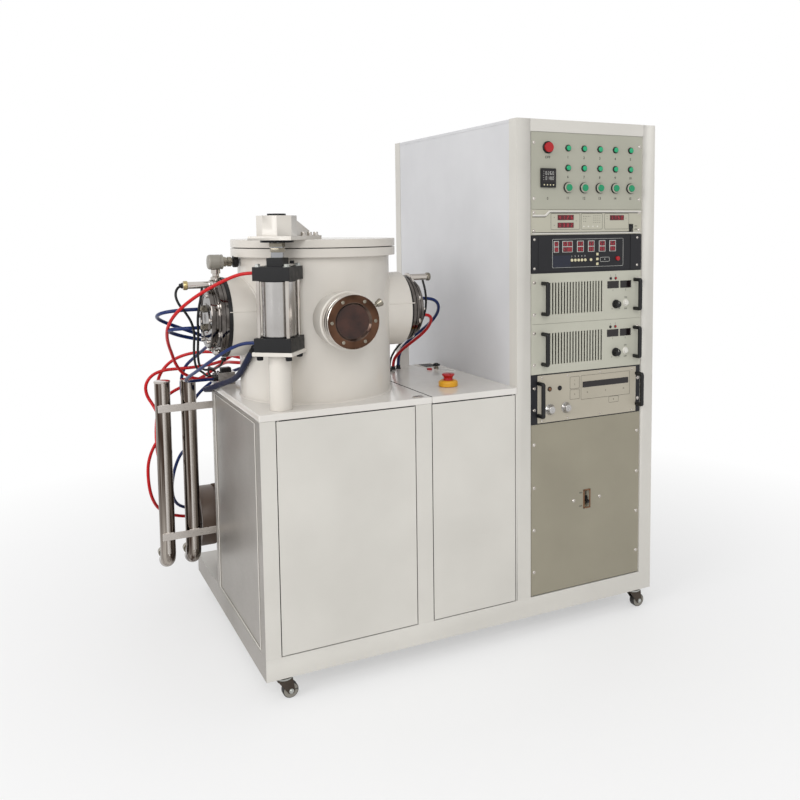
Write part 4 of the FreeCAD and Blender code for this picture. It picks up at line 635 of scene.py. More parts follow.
def lettering(words, height, place, material):
    """Plain numbers or ON and OFF, standing on a face that looks to the front."""
    bpy.ops.object.select_all(action="DESELECT")
    bpy.ops.object.text_add()
    text = bpy.context.object
    text.data.body = words
    text.data.size = height * 1.4
    text.data.extrude = INK / 2
    text.data.offset = height * 0.03
    text.data.align_x = "CENTER"
    text.data.align_y = "CENTER"
    text.data.resolution_u = 3
    bpy.ops.object.convert(target="MESH")
    text = bpy.context.object
    text.data.transform(facing(place, (0, -1, 0)))
    bpy.context.view_layer.update()
    return coated(text, material)


# Main forms: the nodes' own shapes with eased edges and their finishes

FINISHED_NODES = {
    "chamber_body": ("vacuum_chamber", CHAMBER_PAINT, 1.5),
    "chamber_seal": ("chamber_o_ring", RUBBER_AND_GAP_SHADOW, 0),
    "viewport_glass": ("viewport_disc", GLASS, 0.5),
    "lift_supports": ("lift_brackets", CHAMBER_PAINT, 1.0),
    "lid": ("chamber_lid", CHAMBER_PAINT, 2.0),
    "turntable": ("work_turntable", BRUSHED, 0.8),
}

for node, (name, material, edge) in FINISHED_NODES.items():
    dressed(node, name, material, edge)

# Painted shade: the low left side's frame faces and panel take the darker brushed sheet.
LEFT_SIDE_SHADE = [(SHADE_SHEET, lambda c, n: n.x < -0.9 and c.x < 2 and c.z < TABLE_UNDER + 1)]
# Painted shadow: the doors' edge faces are black, for the gaps around the doors.
DOOR_GAP_SHADOW = [(RUBBER_AND_GAP_SHADOW, lambda c, n: abs(n.y) < 0.4 and 0.5 < c.y < 30)]
SHEET_NODES = {
    "base_frame": ("welded_base", PAINT, 2.5, LEFT_SIDE_SHADE),
    "cabinet_frame": ("cabinet_framework", PAINT, 2.5, LEFT_SIDE_SHADE),
    "cabinet_panels": ("closing_panels", COOL_LIT_PAINT, 0.8, [
        (SHADE_SHEET, lambda c, n: c.x < 20 and c.z < TABLE_UNDER and c.y < LOW_DEPTH)]),
    "table_plates": ("table_top", TABLE_PAINT, 2.5, ()),
    "left_door": ("left_door_leaf", PAINT, 1.0, DOOR_GAP_SHADOW),
    "right_door": ("right_door_leaf", PAINT, 1.0, DOOR_GAP_SHADOW),
}
for node, (name, material, edge, finishes) in SHEET_NODES.items():
    dressed(node, name, material, edge, finishes=finishes, angle=25)


# Lift: cylinder, rod, arm and their fasteners

LIFT_FRAME = Matrix.Translation((LIFT[0], LIFT[1], 0)) @ Matrix.Rotation(math.radians(LIFT_TURN), 4, "Z")
CAP_HALF = 59
TIE_RODS = 46
BARREL = (1137, 1311)
BARREL_EDGE = 53
GUIDE = (1353, 1379)
ARM_TOP = 1444.8
ARM_HALF_WIDTH = 68.5
ARM_LENGTH = 215
HEAD_TOP = 1506.8


def on_lift(u, v, z):
    """The matrix that sets a piece on the lift: u points to the chamber, v to its left."""
    return LIFT_FRAME @ Matrix.Translation((u, v, z))


def in_lift(place):
    """A place of the machine in the lift's own directions."""
    return LIFT_FRAME.inverted() @ place


def lift_cylinder():
    """The cylinder with its tie rods' nuts, foot bolts, air elbows and the barrel's two seats."""
    dressed("lift_cylinder", "air_cylinder", BLACK_ANODISED, 2.0, finishes=[
        (ALUMINIUM, lambda c, n: BARREL[0] < c.z < BARREL[1] and reached(c.x, c.y) < BARREL_EDGE),
        (POLISHED, lambda c, n: BARREL[0] < c.z < BARREL[1] and reached(c.x, c.y) > BARREL_EDGE),
        (NICKEL, lambda c, n: in_lift(c).y > CAP_HALF + 0.3),
    ])
    corners = [(u, v) for u in (-TIE_RODS, TIE_RODS) for v in (-TIE_RODS, TIE_RODS)]
    hardware("tie_rod_nuts", hex_bolt(15, 9), [on_lift(u, v, GUIDE[0]) for u, v in corners], ZINC)
    under = [LIFT_FRAME @ facing((u, v, 1083), (0, 0, -1)) for u, v in corners]
    hardware("cylinder_foot_bolts", hex_bolt(19, 14), under, BLACK_STEEL)
    gland = turned([(15, 0), (22, 0), (22, 5), (19, 8), (15, 8)], 32, ring=True)
    fit(moved(gland, on_lift(0, 0, GUIDE[1] - 7.5)), "rod_gland", BLACK_PLASTIC)
    elbow = joined(slab((-12, CAP_HALF, -12), (12, CAP_HALF + 8, 12), 3),
                   moved(turned([(10, 0), (10, 12), (8.5, 14), (7.5, 14)], 24),
                         facing((0, CAP_HALF + 6, 0), (0, 1, 0))))
    hardware("air_elbows", elbow, [on_lift(0, 0, z) for z in AIR_PORTS], BLACK_PLASTIC)
    hardware("bracket_screws", cap_screw(7, 9), [on_lift(62, v, 1359) for v in (22, -22)], BLACK_STEEL)
    for height in (BARREL[0] + 2, BARREL[1] - 2):
        seat = turned([(51, -1.8), (54.5, -1.8), (54.5, 1.8), (51, 1.8)], 64, ring=True)
        fit(moved(seat, on_lift(0, 0, height)), f"barrel_seat_{height}", BLACK_ANODISED)


def lift_rod():
    """The rod with its zinc collar over the guide, two lock nuts and the washer under the arm."""
    dressed("lift_rod", "lift_piston_rod", CHROME, 0.6, finishes=[
        (STRAW_ZINC, lambda c, n: GUIDE[1] < c.z < 1402 and reached(c.x, c.y) > 13),
        (BLACK_STEEL, lambda c, n: 1425.6 < c.z < 1433 and reached(c.x, c.y) > 21),
    ])
    lower, upper = [turned([(13, 0), (23, 0.5), (24, 2.5), (24, height - 2), (22.5, height), (13, height)],
                           6, ring=True) for height in (15, 13)]
    moved(upper, Matrix.Rotation(0.5, 4, "Z") @ Matrix.Translation((0, 0, 17)))
    fit(moved(joined(lower, upper), on_lift(0, 0, 1395)), "rod_lock_nuts", NICKEL, body="lift_rod")


def lid_arm():
    """The arm that carries the lid: its own bolts in zinc, a cap on its head, six bolts into the lid."""
    dressed("lid_arm", "lid_carrying_arm", CHAMBER_PAINT, 2.5, 3, finishes=[
        (ZINC, lambda c, n: ARM_TOP + 0.5 < c.z < 1456 and abs(in_lift(c).y) > 46 and in_lift(c).x > 62),
        (BLACK_PLASTIC, lambda c, n: c.z > HEAD_TOP + 0.2),
    ])
    dome = turned([(28.5, 0), (28.5, 3), (26, 5), (19, 6), (8, 6.4), (0.1, 6.4)], 40)
    fit(moved(dome, on_lift(0, 0, HEAD_TOP)), "arm_head_cap", BLACK_PLASTIC, body="lid")
    nearest = math.hypot(CHAMBER[0] - LIFT[0], CHAMBER[1] - LIFT[1]) - FLANGE_RADIUS + 30
    farthest = ARM_LENGTH - 15
    aside = ARM_HALF_WIDTH - 15
    places = [on_lift(u, v, ARM_TOP) for u in (nearest, (nearest + farthest) / 2, farthest)
              for v in (-aside, aside)]
    bolt = joined(cap_screw(8, 11.5), turned([(11.5, 0), (11.5, 1.8), (8, 1.8)], 20))
    hardware("lid_arm_bolts", bolt, places, POLISHED, body="lid")


lift_cylinder()
lift_rod()
lid_arm()


# Viewport

def viewport():
    """The front port's flange with its screws, the shutter's knob and the pad's rounded edge."""
    ring = turned([(53, 0), (84, 0), (85.5, 1.5), (85.5, 11), (83.4, 12.5), (83.4, 15.5), (85.5, 17),
                   (85.5, 31), (82.5, 32), (82.5, 35), (85.5, 36), (85.5, 48.4), (84, 50), (60.5, 50),
                   (58.5, 49), (54.5, 43.5), (53, 42.5)], 96, ring=True)
    front = facing((CHAMBER[0], 0, PORT_Z), (0, -1, 0))
    moved(ring, front)
    coated(ring, TURNED)
    painted_where(ring, [
        (BROWN_STEEL, lambda c, n: n.y < -0.9 and c.y < -49),
        # Painted shade on the bore's faces.
        (SHADED_BORE, lambda c, n: c.y < -42 and math.hypot(c.x - CHAMBER[0], c.z - PORT_Z) < 60),
    ])
    fit(ring, "viewport_ring", node="viewport_flange")
    hardware("viewport_screws", cap_screw(5.4, 4), around(front, 6, 71, 49.6), NICKEL)
    knob = joined(turned([(4.5, 0), (4.5, 9), (6, 10), (6, 13), (9, 14), (13, 27), (13, 31), (11, 33),
                          (4, 33.5), (0.1, 33.5)], 18),
                  turned([(8, 0), (8, 4), (5, 6)], 18))
    turn = math.radians(29)
    direction = (math.cos(turn), 0, math.sin(turn))
    start = Vector((CHAMBER[0], -25, PORT_Z)) + Vector(direction) * 84.5
    fit(moved(knob, facing(start, direction)), "viewport_shutter_knob", NICKEL)
    weld = turned([(88, -2.5), (90.6, -1.4), (91.4, 0.4), (90, 1.8), (88, 2.2)], 96, ring=True)
    fit(moved(weld, facing((CHAMBER[0], 1.8, PORT_Z), (0, -1, 0))), "viewport_pad_edge", CHAMBER_PAINT)


viewport()


# Arc sources on the side ports

def arc_source(side):
    """The flange stack with its bolts, the striker and the water fittings, on one side port."""
    rim, tip_finish = (127, STRAW_ZINC) if side < 0 else (117, NICKEL)

    def out(reach, rise=0):
        """The matrix that stands a piece on the port, facing out, reach beyond the insulating ring."""
        start = CHAMBER[0] + side * (PORT_REACH + RING_THICKNESS)
        return facing((start + side * reach, CHAMBER[1], PORT_Z + rise), (side, 0, 0))

    # Painted shade: the stack is in the darkened polished steel.
    stack = turned_at(out(0), DARK_POLISHED, [
        (rim, 0), (rim, 9), (rim - 3, 10), (rim - 3, 12), (rim, 13), (rim, 20), (rim - 2.5, 22),
        (102, 22), (100, 25), (98, 26), (98, 33), (95.5, 34), (95.5, 36), (98, 37),
        (98, 45), (95, 48), (76, 48), (73, 45), (50, 45), (46, 48), (18, 48), (14, 46), (0.1, 46)], 96)
    bolts = coated(joined(*copies(hex_bolt(15, 10), around(out(22), 8, rim - 11, first=0.5))), POLISHED)
    screws = coated(joined(*copies(cap_screw(6, 7), around(out(48), 6, 85))), POLISHED)
    fittings = [turned_at(out(48, rise), NICKEL, [(12, 0), (12, 8), (10, 9), (10, 12), (8, 13), (7, 18)], 6)
                for rise in (-30, 30)]
    seat = out(22, STRIKER_Z - PORT_Z)
    striker = turned_at(seat, POLISHED, [
        (16, 0), (16, 10), (13, 12), (11.5, 14), (11.5, 80), (13.5, 81), (13.5, 93),
        (11, 95), (5, 95), (5, 92), (0.1, 92)], 32)
    tip = turned_at(seat, tip_finish, [(14.5, 80.5), (15, 82), (15, 91), (13.5, 93.5), (12, 93.5)], 12)
    return joined(stack, bolts, screws, joined(*fittings), striker, tip)


for side, word in ((-1, "left"), (1, "right")):
    fit(arc_source(side), f"{word}_arc_source", node="arc_sources")


def insulators():
    """The laminate rings that insulate the arc sources from the chamber's ports."""
    rings = []
    for side, rim in ((-1, 131), (1, 116)):
        ring = turned([(96.5, 0), (rim - 2, 0), (rim, 1), (rim, RING_THICKNESS - 1),
                       (rim - 2, RING_THICKNESS), (96.5, RING_THICKNESS)], 96, ring=True)
        rings.append(moved(ring, facing((CHAMBER[0] + side * PORT_REACH, CHAMBER[1], PORT_Z), (side, 0, 0))))
    fit(joined(*rings), "insulating_rings", BLACK_PLASTIC, node="source_insulators")


insulators()


def leak_valve():
    """The small valve that stands on the left source's flange."""
    x, y, z = -45, CHAMBER[1], 1361
    stem = turned_at(facing((x, y, 1303)), POLISHED, [
        (17, 0), (17, 9), (11, 12), (11, 20), (15, 21), (15, 33), (12, 37)], 32)
    head = turned_at(facing((x + 24, y, z), (-1, 0, 0)), GREY_PAINT, [
        (20, 0), (24, 2), (24, 8), (22.5, 9), (22.5, 11), (24, 12), (24, 44), (21, 48), (0.1, 48)], 40)
    barrel = turned_at(facing((x + 24, y, z), (1, 0, 0)), NICKEL, [
        (14, 0), (16, 1), (16, 9), (13, 10), (13, 13), (16, 14), (16, 26), (12, 28), (7, 28), (7, 32)], 16)
    knob = turned_at(facing((x + 55, y, z), (1, 0, 0)), BLACK_PLASTIC, [
        (15, 0), (19, 2), (19, 16), (15, 19), (0.1, 19)], 14)
    fit(joined(stem, head, barrel, knob), "left_source_valve")


leak_valve()


# Side panel's edge line, table seam and weld beads

def panel_line():
    """The rounded edge of the left side panel, and the sealant between the two table plates."""
    edge = [(-0.6, y, z) for y, z in ((56, 158), (604, 158), (604, 876), (56, 876), (56, 158))]
    fit(wire(edge, 3.2, corner=0), "side_panel_edge_line", PAINT)
    seam = [(TABLE_SEAM, y, TABLE + 0.1) for y in (3, 652)]
    fit(wire(seam, 1.8, corner=0), "table_seam_sealant", RUBBER_AND_GAP_SHADOW)


panel_line()


def weld_beads():
    """The welds of the ports' tubes, their rolled seams, and the chamber's foot and neck welds."""
    radius = 130.5
    for side, word in ((-1, "left"), (1, "right")):
        seam = [(CHAMBER[0] + side * reach, CHAMBER[1] - 127.4, PORT_Z + 26) for reach in (226, 320)]
        fit(wire(seam, 3.4, corner=0), f"{word}_port_seam", CHAMBER_PAINT)
    for side, word in ((-1, "left"), (1, "right")):
        bead = []
        for step in range(73):
            angle = math.tau * step / 72
            across, rise = radius * math.cos(angle), radius * math.sin(angle)
            reach = math.sqrt(CHAMBER_RADIUS ** 2 - across ** 2)
            bead.append((CHAMBER[0] + side * (reach + 0.5), CHAMBER[1] + across, PORT_Z + rise))
        fit(wire(bead[:-1], 6, corner=0, closed=True), f"{word}_port_weld", CHAMBER_PAINT)
    seat = turned([(CHAMBER_RADIUS, 0), (CHAMBER_RADIUS + 5, 0), (CHAMBER_RADIUS + 3.5, 2.5),
                   (CHAMBER_RADIUS, 5)], 128, ring=True)
    fit(moved(seat, Matrix.Translation((*CHAMBER, TABLE))), "chamber_foot_weld", CHAMBER_PAINT)
    neck = turned([(CHAMBER_RADIUS, 0), (CHAMBER_RADIUS + 4, 0), (CHAMBER_RADIUS, -5)], 128, ring=True)
    fit(moved(neck, Matrix.Translation((*CHAMBER, 1377))), "chamber_neck_weld", CHAMBER_PAINT)


weld_beads()


# Rack: what stands on each unit's face. Offsets run right from a unit's left edge, drops run
# down from its top edge.

def on_panel(unit, offset, drop, proud=0.0, turn=0):
    """The matrix that stands a piece on a unit's face, or proud of it."""
    return facing(rack_spot(unit, offset, drop, FACE_FRONT - proud), (0, -1, 0), turn)


def window(unit, left, top, right, bottom, proud, material, edge=0.6):
    """A low block on a unit's face, between two corners."""
    low = (RACK_LEFT + left, FACE_FRONT - proud, UNIT_TOPS[unit] - bottom)
    high = (RACK_LEFT + right, FACE_FRONT + 0.3, UNIT_TOPS[unit] - top)
    return coated(slab(low, high, edge), material)


def bars_around(unit, left, top, right, bottom, width, proud, material):
    """Four low bars around an opening in a unit's face."""
    start, over, end, under = left - width, top - width, right + width, bottom + width
    edges = ((start, over, left, under), (right, over, end, under),
             (start, over, end, top), (start, bottom, end, under))
    return joined(*[window(unit, *edge, proud, material) for edge in edges])


def printed_frame(unit, left, top, right, bottom, material, line=1.3, corner=5, proud=0.0):
    """A printed line around a group of controls."""
    middle = (top + bottom) / 2
    stops = [(left, middle), (left, top), (right, top), (right, bottom), (left, bottom), (left, middle)]
    path = [rack_spot(unit, *stop, FACE_FRONT - proud) for stop in stops]
    return coated(wire(path, line, corner, bevel=1), material)


def panel_screws(name, unit, places, radius=4.2, proud=0.0):
    """Cross-head screws on cup washers."""
    screw = joined(pan_screw(radius), turned([(radius * 1.5, 0), (radius * 1.4, 0.8), (radius, 0.9)], 18))
    hardware(name, screw, [on_panel(unit, *place, proud) for place in places], POLISHED)


def numerals(unit, marks, height, material, proud=0.0):
    """Printed numbers, or ON and OFF, each at its offset and drop."""
    return [lettering(words, height, rack_spot(unit, offset, drop, FACE_FRONT - proud), material)
            for words, offset, drop in marks]


# Seven-segment figures: where each bar lies, in widths and half heights, and the bars of a figure
BARS = {"a": (0, 1, 0), "b": (0.5, 0.5, 90), "c": (0.5, -0.5, 90), "d": (0, -1, 0),
        "e": (-0.5, -0.5, 90), "f": (-0.5, 0.5, 90), "g": (0, 0, 0)}
FIGURES = {"0": "abcdef", "1": "bc", "2": "abged", "3": "abgcd", "4": "fgbc", "5": "afgcd",
           "6": "afgedc", "7": "abc", "8": "abcdefg", "9": "abfgcd"}


def led_figures(unit, number, left, top, right, bottom, proud, material):
    """A number in seven-segment figures that fills a window."""
    pitch = (right - left) / len(number)
    height = min((bottom - top) * 0.66, pitch * 1.25)
    width = height * 0.52
    length, half = width * 0.42, height * 0.055
    bar = cut_out([(-length, 0), (-length + half, -half), (length - half, -half), (length, 0),
                   (length - half, half), (-length + half, half)], 0.3)
    places = []
    for index, figure in enumerate(number):
        centre = on_panel(unit, left + pitch * (index + 0.5), (top + bottom) / 2, proud)
        for name in FIGURES[figure]:
            across, rise, turn = BARS[name]
            places.append(centre @ Matrix.Translation((across * width * 0.86, rise * height / 2, 0))
                          @ Matrix.Rotation(math.radians(turn), 4, "Z"))
    return coated(joined(*copies(bar, places)), material)


def control_panel():
    """The top unit: signal lamps over start buttons, a stop button and a temperature controller."""
    unit = "control_panel"
    dressed("control_panel", "control_unit_face", CONTROL_PAINT, 0.8, body_only=True)
    rim = coated(turned([(7.4, 0), (11.6, 0), (11.6, 3.4), (10, 5), (8.6, 5), (7.4, 4)], 32, ring=True),
                 BLACK_PLASTIC)
    lens = coated(turned([(8.6, 3), (8.8, 6.5), (7.8, 8.3), (4.5, 9), (0.1, 9.1)], 32), GREEN_LENS)
    columns = [153 + 69 * column for column in range(5)]
    places = [on_panel(unit, x, drop) for x in columns for drop in (53, 121.6)]
    fit(joined(*copies(joined(rim, lens), places)), "signal_lamps")
    outer = turned([(14.2, 0), (18.6, 0), (18.6, 5), (17.4, 6.6), (14.2, 6.6)], 40, ring=True)
    inner = turned([(12.35, 0.4), (14.4, 0.4), (14.4, 7), (13.8, 7.8), (12.35, 7.8)], 40, ring=True)
    bezel = joined(coated(outer, BLACK_PLASTIC), coated(inner, CHROME))
    fit(joined(*copies(bezel, [on_panel(unit, x, 190) for x in columns])), "start_button_bezels")
    for number in range(1, 6):
        dressed(f"start_button_{number}", f"start_cap_{number}", GREEN_PLASTIC, 1.6)
    dressed("panel_stop_button", "stop_cap", RED_PLASTIC, 0.5, 3)
    ring = turned([(17.6, 0), (21, 0), (21, 5), (19.5, 6.5), (17.6, 6.5)], 48, ring=True)
    fit(moved(ring, on_panel(unit, 68, 53)), "stop_button_bezel", BLACK_PLASTIC)
    left, top, right, bottom = 37, 125, 99, 191
    body_proud, screen_proud = 8, 8.4
    parts = [window(unit, left, top, right, bottom, body_proud, BLACK_PLASTIC, 2.0),
             window(unit, left + 5, top + 6, right - 5, bottom - 18, screen_proud, DARK_WINDOW, 0.3)]
    for drop, number in ((top + 9, "0260"), (top + 26, "0180")):
        parts.append(led_figures(unit, number, left + 15, drop, right - 9, drop + 16, screen_proud,
                                 PALE_LEGEND))
    key = coated(turned([(2.6, 0), (2.6, 0.8), (2.1, 1.2), (0.1, 1.3)], 12), CREAM_PLASTIC)
    parts += copies(key, [on_panel(unit, left + 12 + 12.6 * k, bottom - 9, body_proud) for k in range(4)])
    dot = coated(turned([(1.1, 0), (0.9, 0.4), (0.1, 0.5)], 8), PALE_LEGEND)
    parts += copies(dot, [on_panel(unit, left + 9.5, top + 11 + 7 * k, screen_proud) for k in range(5)])
    fit(joined(*parts), "temperature_controller")
    panel_screws("control_panel_screws", unit, [(11, 38), (11, 229), (471.6, 38), (471.6, 229)])
    marks = [(str(5 * row + n + 1), x, drop) for row, drop in enumerate((85, 153, 227))
             for n, x in enumerate(columns)]
    marks += [("OFF", 68, 87), ("0", 68, 229)]
    fit(joined(*numerals(unit, marks, 9, LEGEND)), "control_panel_legends")


def display_unit():
    """The unit with three red displays, their keys and lamps, and the power rocker."""
    unit = "display_unit"
    dressed("display_unit", "display_unit_face", DISPLAY_PAINT, 0.8)
    dressed("power_rocker", "rocker_cap", BLACK_PLASTIC, 0.8)
    upper = [(4, 21), (59, 21), (75, 6.5), (478, 6.5)]
    lower = [(4, 84), (478, 84)]
    lips = [coated(wire([rack_spot(unit, *stop, y=FACE_FRONT - 0.8) for stop in path], size, 3), PAINT)
            for path, size in ((upper, 7.5), (lower, 5.5))]
    # Painted shade: black lines along the lips, in the creases beside them.
    for path in ([(x, drop + 5) for x, drop in upper], [(4, 80), (424, 80)]):
        lips.append(coated(wire([rack_spot(unit, *stop) for stop in path], 2.2, 3, bevel=1), BLACK_PAINT))
    fit(joined(*lips), "display_unit_lips_and_painted_shade")
    parts = [printed_frame(unit, left, 14, right, 70, LEGEND, 1.1)
             for left, right in ((82, 205), (211, 304), (314, 424))]
    windows = ((110, 19, 178, 37, "4126"), (110, 46, 178, 64, "0382"), (338, 20, 401, 38, "1750"))
    for left, top, right, bottom, number in windows:
        parts.append(window(unit, left, top, right, bottom, 1.2, RED_DIGITS, 0.4))
        parts.append(led_figures(unit, number, left, top, right, bottom, 1.2, RED_LIT))
    key = coated(turned([(2.6, 0), (2.6, 1.4), (2, 1.8), (0.1, 1.9)], 12), WHITE_PLASTIC)
    parts += copies(key, [on_panel(unit, 222 + 20 * k, 60) for k in range(4)])
    dot = coated(turned([(1.4, 0), (1.2, 0.5), (0.1, 0.6)], 8), LEGEND)
    rows = [(221 + 7 * k, 24) for k in range(5)]
    rows += [(222 + 8 * k, drop) for drop in (33, 42) for k in range(2)]
    rows += [(266 + 9 * k, 22 + 8 * n) for k in range(4) for n in range(4)]
    rows += [(96, 28), (96, 55), (189, 40), (325, 24), (325, 33), (411, 31)]
    parts += copies(dot, [on_panel(unit, *place) for place in rows])
    fit(joined(*parts), "display_unit_controls")
    around_rocker = (427.3, 54.8, 440.7, 79.2)
    fit(bars_around(unit, *around_rocker, 2.4, 2, BLACK_PLASTIC), "rocker_frame")
    panel_screws("display_unit_screws", unit, [(11, 11), (11, 74), (471.6, 11), (471.6, 74)])
    fit(joined(*numerals(unit, [("ON", 457, 60), ("OFF", 457, 72)], 5, LEGEND)), "display_unit_legends")


def indicator_unit():
    """The black unit: seven small red displays in pale frames, a blue one, keys and a reset button."""
    unit = "indicator_unit"
    proud = 1.2
    dressed("indicator_unit", "indicator_unit_face", BLACK_PAINT, 0.8)
    dressed("reset_button", "reset_cap", RED_PLASTIC, 1.4, 3)
    ends = [window(unit, 0.5, 3, 27, 130.5, 2.2, BLACK_PAINT, 1.0),
            window(unit, 432, 3, 482, 130.5, 2.2, BLACK_PAINT, 1.0),
            window(unit, 29, 6, 430, 127.5, proud, BLACK_PAINT, 0.8)]
    fit(joined(*ends), "indicator_unit_cover")
    parts = [printed_frame(unit, 88, 15, 398, 115, PALE_LEGEND, 1.1, 4, proud),
             window(unit, 89, 72, 165, 114, 1.7, BLUE_WINDOW, 0.3)]
    groups = ((95, 113, 1), (131, 172, 2), (194, 220, 1), (242, 267, 1), (290, 316, 1), (337, 363, 1))
    for left, right, windows in groups:
        parts.append(window(unit, left - 1.5, 21.5, right + 1.5, 61.5, 1.8, PALE_LEGEND, 0.3))
        span = (right - left) / windows
        for k in range(windows):
            low, high = left + span * k + 0.8, left + span * (k + 1) - 0.8
            parts.append(window(unit, low, 23.5, high, 40.5, 2.4, RED_DIGITS, 0.3))
            parts.append(led_figures(unit, "37" if k else "52", low, 23.5, high, 40.5, 2.4, RED_LIT))
        parts.append(window(unit, left + 0.8, 43, right - 0.8, 60, 2.4, RED_DIGITS, 0.3))
        number = "4180" if windows > 1 else "96"
        parts.append(led_figures(unit, number, left + 0.8, 43, right - 0.8, 60, 2.4, RED_LIT))
    key = coated(turned([(5.2, 0), (5.2, 2.4), (4.4, 3.2), (0.1, 3.4)], 20), CREAM_PLASTIC)
    offsets = [170 + 14.4 * k for k in range(5)]
    parts += copies(key, [on_panel(unit, x, 90, proud) for x in (*offsets, 253)])
    small = coated(slab((-4.6, -4.6, 0), (4.6, 4.6, 2.6), 0.8), CREAM_PLASTIC)
    parts += copies(small, [on_panel(unit, 281, drop, proud) for drop in (70.5, 88, 105.5)])
    parts.append(printed_frame(unit, 295, 82.5, 336, 98, PALE_LEGEND, proud=proud))
    marks = [(str(k + 1), x, 76) for k, x in enumerate(offsets)] + [("0", 315.5, 90)]
    parts += numerals(unit, marks, 5.5, PALE_LEGEND, proud)
    fit(joined(*parts), "indicator_unit_controls")
    panel_screws("indicator_unit_screws", unit, [(12, 15), (12, 116), (462, 13), (462, 114)], 3.2, 2.2)


def supply_knob(unit, name):
    """A skirted pointer knob: the pointer line is moulded into its cap."""
    x, drop = 367, 122
    knob = coated(turned([(16, 0.3), (16, 3.6), (14.8, 5), (12.6, 5.4), (12.2, 17.5), (10.8, 20.1),
                          (0.1, 20.3)], 40), BLACK_PLASTIC)
    ribs = copies(coated(slab((11.9, -0.7, 6), (13, 0.7, 17), 0.3, 1), BLACK_PLASTIC), around(Matrix(), 24))
    line = coated(slab((-0.6, 2, 19.8), (0.6, 10.6, 20.5), 0.2, 1), WHITE_PLASTIC)
    piece = moved(joined(knob, *ribs, line), on_panel(unit, x, drop))
    fit(piece, name, body=f"{unit}_knob", node=f"{unit}_knob")


def power_supply(unit):
    """A supply's face with its two meters, two lamps, current knob and power button."""
    word = unit.split("_")[0]
    dressed(unit, f"{word}_supply_face", SUPPLY_PAINT, 0.8)
    supply_knob(unit, f"{word}_current_knob")
    dressed(f"{unit}_switch", f"{word}_power_cap", WHITE_PLASTIC, 1.6, 3)
    parts = [window(unit, left, 37, right, 63.5, 1.6, DARK_WINDOW)
             for left, right in ((328.5, 380), (387.5, 437))]
    for x, material in ((343.5, BLACK_PLASTIC), (366, RED_PLASTIC)):
        seat = on_panel(unit, x, 27)
        parts += [turned_at(seat, BLACK_PLASTIC, [(5.4, 0), (5.4, 1.2), (4, 1.8), (3.9, 1)], 20),
                  turned_at(seat, material, [(3.9, 0.8), (3.6, 3), (2, 3.8), (0.1, 4)], 20)]
    parts.append(turned_at(on_panel(unit, 413, 119), CERAMIC, [
        (9.3, 0), (12.5, 0), (12.5, 1.5), (11.8, 2.2), (9.3, 2.2)], 32, ring=True))
    fit(joined(*parts), f"{word}_supply_meters")
    panel_screws(f"{word}_supply_screws", unit, [(12.5, 31), (12.5, 144), (470, 31), (470, 144)], 4.4)
    marks = [("ON", 413, 99), ("OFF", 413, 141), ("1", 343.5, 16), ("2", 366, 16), ("0", 351, 139),
             ("10", 383, 139), ("1", 354, 71), ("2", 412, 71)]
    fit(joined(*numerals(unit, marks, 5.5, LEGEND)), f"{word}_supply_legends")


def gauge_unit():
    """The gauge's unit: a plate with two sockets, a long scale window and printed groups, and two knobs."""
    unit = "gauge_unit"
    dressed("gauge_unit", "gauge_unit_face", BLACK_PAINT, 0.8)
    proud = 2.4
    fit(window(unit, 26, 4, 462, 174, proud, GAUGE_PAINT, 0.8), "gauge_unit_sheet")
    corners = [(x, drop) for x in (43, 153, 296, 443) for drop in (12, 166)]
    panel_screws("gauge_sheet_screws", unit, corners, 2.6, proud)
    panel_screws("gauge_unit_screws", unit, [(11.5, 48.6), (11.5, 126), (472, 48.6), (472, 126)], 4.4)
    parts = []
    for x, material in ((75.7, AMBER_PLASTIC), (118.6, BLACK_PLASTIC)):
        seat = on_panel(unit, x, 55, proud)
        parts += [turned_at(seat, BLACK_PLASTIC, [(8.6, 0), (8.6, 2), (7, 3), (6, 2)], 24),
                  turned_at(seat, material, [(6, 1.8), (5.6, 4), (3, 5.2), (0.1, 5.4)], 24)]
    outlines = ((163.6, 19.5, 204.5, 63), (163.6, 66.5, 204.5, 101.6), (211.8, 19, 433, 106),
                (337, 107.5, 381, 129.7))
    parts += [printed_frame(unit, *outline, LEGEND, 1.0, 3, proud) for outline in outlines]
    parts.append(window(unit, 218.5, 41.5, 426, 63, proud + 0.8, DARK_WINDOW, 0.4))
    marks = [("1", 184, 33), ("2", 184, 48), ("3", 184, 84), ("0", 240, 82), ("5", 322, 82),
             ("10", 404, 82), ("0", 359, 119)]
    parts += numerals(unit, marks, 5.5, LEGEND, proud)
    fit(joined(*parts), "gauge_unit_controls")
    for side, x in (("left", 77), ("right", 146)):
        knob = turned([(20, 0.3), (20, 4), (18.4, 5.4), (13, 16), (12.4, 19), (10.8, 20.1), (4.5, 20.3),
                       (3.9, 19.3), (0.1, 19.2)], 48)
        ribs = copies(slab((13.6, -0.6, 7), (17, 0.6, 13), 0.4, 1), around(Matrix(), 20))
        piece = moved(joined(knob, *ribs), on_panel(unit, x, 128))
        fit(piece, f"{side}_valve_knob", ALUMINIUM, body=f"{side}_gauge_knob", node=f"{side}_gauge_knob")


